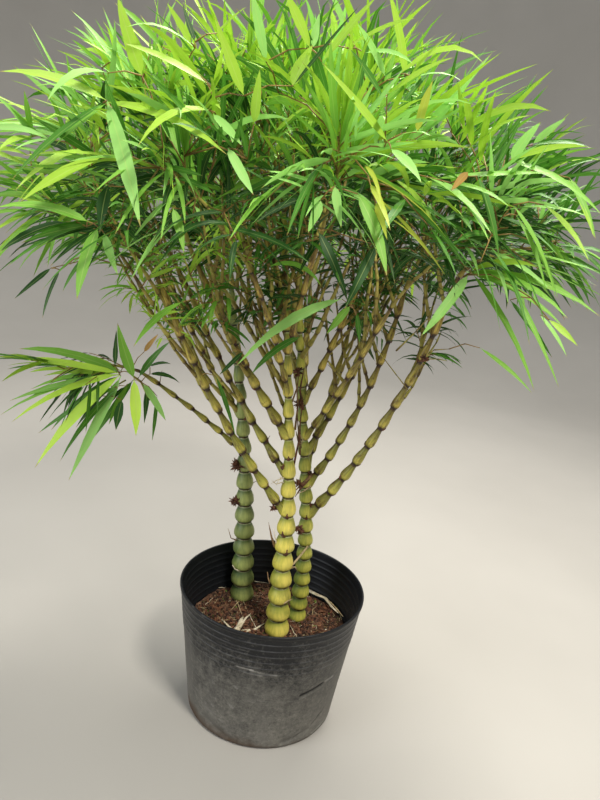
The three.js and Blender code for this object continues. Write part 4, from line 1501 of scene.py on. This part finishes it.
# What lies on the soil: kind, places in pixels, widths at both ends, height above the soil.
soilStrips = [
    ("husk", ((235, 632), (239, 625), (243, 616)), (15, 8), 7),
    ("husk", ((239, 627), (246, 618), (251, 612)), (7, 2), 8),
    ("husk", ((243, 630), (254, 628), (265, 623)), (10, 3), 5),
    ("husk", ((222, 618), (229, 625), (236, 631)), (3.5, 5), 7),
    ("husk", ((250, 616), (254, 623), (258, 629)), (1.6, 1.2), 5),
    ("husk", ((313, 588), (325, 601), (338, 615)), (10, 6), 14),
    ("straw", ((318, 589), (332, 604), (343, 619)), (3, 4), 15),
    ("straw", ((334, 608), (339, 615), (341, 623)), (2, 1), 9),
    ("husk", ((207, 584), (216, 586), (225, 589)), (2.6, 1.6), 4),
    ("husk", ((250, 585.5), (260, 585), (270, 586)), (2.2, 1.4), 6),
    ("straw", ((250, 598), (258, 597), (267, 596)), (1.6, 1), 4),
    ("husk", ((204, 607.5), (208, 603.5), (213, 599.5)), (2, 1.4), 4),
    ("husk", ((199, 612), (203, 616)), (4.5, 3), 4),
    ("husk", ((290, 626), (294, 632), (298, 637)), (2, 1), 5),
    ("husk", ((323, 629), (327, 630)), (4, 3), 4),
    ("straw", ((236, 602), (240, 609), (244, 617)), (2.4, 1.4), 6),
    ("straw", ((239, 603), (233, 608), (229, 611)), (2, 1), 5),
    ("straw", ((243, 602), (247, 608), (248, 612)), (2, 1), 5),
    ("root", ((251, 603), (256, 606), (262, 604)), (2, 1), 4),
    ("root", ((305, 608), (312, 604), (318, 606)), (2.4, 1), 4),
    ("root", ((309, 618), (316, 615), (324, 618)), (2.4, 1), 4),
]

# Torn sheaths and scraps on the culms: kind, places in pixels, depths of both ends, widths.
culmStrips = [
    ("sheath", ((275, 547), (271.5, 537), (268.5, 522)), (-10, -10), (6, 1)),
    ("husk", ((277, 546), (275, 537), (273, 528)), (-14, -14), (3, 0.8)),
    ("sheath", ((237, 540.5), (231, 538), (228, 528)), (80, 86), (3, 1)),
    ("husk", ((232.5, 565), (235, 569), (239.5, 571)), (72, 68), (1.6, 2.6)),
    ("sheath", ((267.4, 572), (268.2, 578), (270, 584)), (-10, -20), (1.5, 3)),
    ("straw", ((308, 546), (300, 556), (291, 567)), (28, -16), (3.5, 5)),
    ("straw", ((290.5, 568), (295, 567), (297.5, 571)), (-14, 8), (5, 2)),
    ("straw", ((292.5, 599), (288, 601), (283.5, 604)), (-14, -31), (1.6, 3.2)),
    ("husk", ((284, 478), (277, 480), (271, 484)), (-16, -20), (2.6, 1)),
    ("husk", ((284, 482), (276, 484), (271.5, 480)), (-16, -18), (2.4, 1)),
    ("husk", ((282, 476), (279, 480), (276, 486)), (-18, -20), (2, 1)),
    ("sheath", ((312, 475), (304, 482), (295, 491)), (36, 10), (6, 3)),
    ("root", ((309, 479), (301, 488), (295, 497)), (32, 8), (5, 2)),
    ("straw", ((311, 486), (304, 491), (297, 494)), (30, 8), (3, 1.5)),
    ("sheath", ((301, 448), (298, 440), (296, 431)), (28, 14), (4, 2)),
    ("straw", ((300, 446), (303, 440), (300, 434)), (26, 24), (3, 1.5)),
    ("root", ((293.5, 467), (299, 440), (297, 410)), (6, 20), (4, 2)),
    ("root", ((300, 455), (300, 425), (303, 395)), (30, 26), (3, 2)),
    ("sheath", ((295, 430), (298, 405), (296, 380)), (22, 12), (4, 2)),
    ("root", ((303, 410), (300, 390), (304, 368)), (30, 24), (5, 2)),
    ("sheath", ((292, 402), (297, 388), (299, 372)), (10, 20), (3, 2)),
    ("sheath", ((282, 440), (279, 433), (280, 425)), (-14, -16), (3, 1)),
]

# Clusters of dry buds and roots: middle in pixels, depth, radius, count and length of the spikes.
budClusters = [
    ((237, 465.5), 84, 17, 90, 8),
    ((235.5, 501), 84, 14, 70, 8),
    ((273.5, 508), -8, 9, 36, 6),
    ((298, 529), 12, 12, 50, 7),
    ((301, 532), 30, 8, 26, 6),
    ((298.5, 484), 16, 11, 40, 7),
    ((299, 404), 22, 12, 44, 8),
    ((298, 372), 22, 11, 36, 8),
    ((283, 467), -12, 6, 18, 5),
    ((424, 359), -60, 8, 30, 6),
    ((240, 604), 78, 12, 30, 7),
    ((310, 474), 40, 8, 26, 6),
    ((310, 505), 42, 7, 20, 5),
]

buds = {
    "size": 0.42,  # of its limb's thickness
    "lowestOnCulm": 320,
    "culmSkipped": 0.5,
    "twigShare": 0.14,
    "twigLengths": (10, 26),
    "twigRadii": (0.9, 0.7, 0.4),
}


def stripPath(places, widths):
    # a bent strip through three places
    first, last = places[0], places[-1]
    middle = places[len(places) // 2] if len(places) > 2 else first.lerp(last, 0.5)
    path = [first, first.lerp(middle, 0.55), middle, middle.lerp(last, 0.5), last]
    return path, [along(widths, i / 4) / 2 * mm * (1, 1, 1, 0.9, 0.4)[i] for i in range(5)]


def spike(foot, way, length, radius):
    return [foot, foot + way * length * 0.5, foot + way * length], [radius, radius * 0.75, radius * 0.15]


def makeStrips(prefix, strips, facing, flat, slot):
    # one piece for each dry skin in use
    for kind, paths in strips.items():
        if paths:
            skin = fibreSkin(prefix + kind, *drySkins[kind])
            arrayPiece(prefix + kind, *tubeArrays(paths, 6, facing, flat), skin, slot)


def makeSoilStrips(rng):
    # husks and straws where the photograph shows them, and fibres strewn at random
    strips = {kind: [] for kind in drySkins}
    for kind, pixels, widths, lift in soilStrips:
        places, radii = stripPath([placeOn(pixel, soilTop + lift) for pixel in pixels], widths)
        for place in places:
            out = fromAxis(place.x, place.y) / mm / (wallRadius(soilTop) - soil["stripGap"])
            place.x, place.y = place.x / max(out, 1), place.y / max(out, 1)
            height = soilTop + lift * 0.7 + soilHeight(place.x / mm, place.y / mm)
            place.z = max(height * mm, place.z - 6 * mm)
        strips[kind].append((places, radii))
    for _ in range(soil["fibres"]):
        x, y = onSoil(rng)
        way = headingOf(rng.uniform(0, 360), rng.uniform(70, 95))
        length = rng.uniform(*soil["fibreLengths"])
        foot = Vector((x, y, soilTop + soilHeight(x, y) + rng.uniform(0, 2))) * mm
        bend = headingOf(rng.uniform(0, 360), 90) * length * 0.2 * mm
        tip = foot + way * length * mm
        if fromAxis(tip.x, tip.y) > (wallRadius(soilTop) - soil["bitGap"]) * mm:
            continue
        kind = rng.choices(("root", "sheath", "straw", "husk"), (10, 6, 4, 1))[0]
        middle, width = foot.lerp(tip, 0.5) + bend, rng.uniform(0.8, 1.8)
        strips[kind].append(stripPath([foot, middle, tip], (width, 0.8)))
    makeStrips("soil_", strips, up, 0.35, "soil")


def makeTornSheaths():
    strips = {kind: [] for kind in drySkins}
    for kind, pixels, depths, widths in culmStrips:
        places = [placeAt(pixel, along(depths, i / (len(pixels) - 1))) for i, pixel in enumerate(pixels)]
        strips[kind].append(stripPath(places, widths))
    makeStrips("torn_", strips, Vector((0, -1, 0.3)), 0.3, "bough")


def makeBuds(rng, limbs):
    # spiky clusters, two buds at a node, and now and then a dry twig
    spikes, twigs = [], []
    for pixel, depth, radius, count, length in budClusters:
        centre = placeAt(pixel, depth)
        for _ in range(count):
            x, y, z = (rng.gauss(0, 1) for _ in range(3))
            way = Vector((x, y, z + 0.2)).normalized()
            foot = centre + way * rng.uniform(0, 0.5) * radius * mm
            spikes.append(spike(foot, way, length * rng.uniform(0.5, 1.3) * mm, rng.uniform(0.8, 2.4) * mm))
    for name, limb in limbs.items():
        isCulm = name.startswith("culm")
        for node in range(1, limb["joints"]):
            foot, way = limb["places"][node], limb["headings"][node]
            thick = along(limb["diameters"], node / limb["joints"]) * mm
            if isCulm and (foot.z < buds["lowestOnCulm"] * mm or rng.random() < buds["culmSkipped"]):
                continue
            bearing = rng.uniform(0, 360) if isCulm else (node % 2) * 180 + rng.uniform(-40, 40)
            side = (up.rotation_difference(way) @ headingOf(bearing, 90)).normalized()
            seat = foot + side * thick * 0.26
            spikes.append(spike(seat, (side * 0.7 + way).normalized(), thick * buds["size"], thick * 0.17))
            across = foot - side * thick * 0.2
            spikes.append(spike(across, (way - side).normalized(), thick * 0.3, thick * 0.13))
            if rng.random() < buds["twigShare"]:
                tip = seat + (side + way * 0.5).normalized() * rng.uniform(*buds["twigLengths"]) * mm
                radii = [radius * mm for radius in buds["twigRadii"]]
                twigs.append(([seat, seat.lerp(tip, 0.5) + up * 2 * mm, tip], radii))
    arrayPiece("dryBuds", *tubeArrays(spikes, 6), fibreSkin("budSkin", *drySkins["root"]), "bough")
    arrayPiece("dryTwigs", *tubeArrays(twigs, 5), fibreSkin("dryTwigSkin", *drySkins["twig"]), "bough")


def makeDryBits(limbs):
    rng = random.Random(soil["seed"] + 1)
    makeSoilStrips(rng)
    makeTornSheaths()
    makeBuds(rng, limbs)


print("camera and studio")
makeCamera()
makeBackdrop()
makeLights()
print("limbs")
limbs, sprays = growLimbs()
makeLimbs(limbs)
print("foliage")
masses = ["leaves_" + name.removeprefix("bough_") for name in limbs]
growth = growFoliage(limbs, sprays)
makeFoliage(growth, masses)
print("pot and soil")
makePot()
makeSoil()
makeLitter()
makeDryBits(limbs)
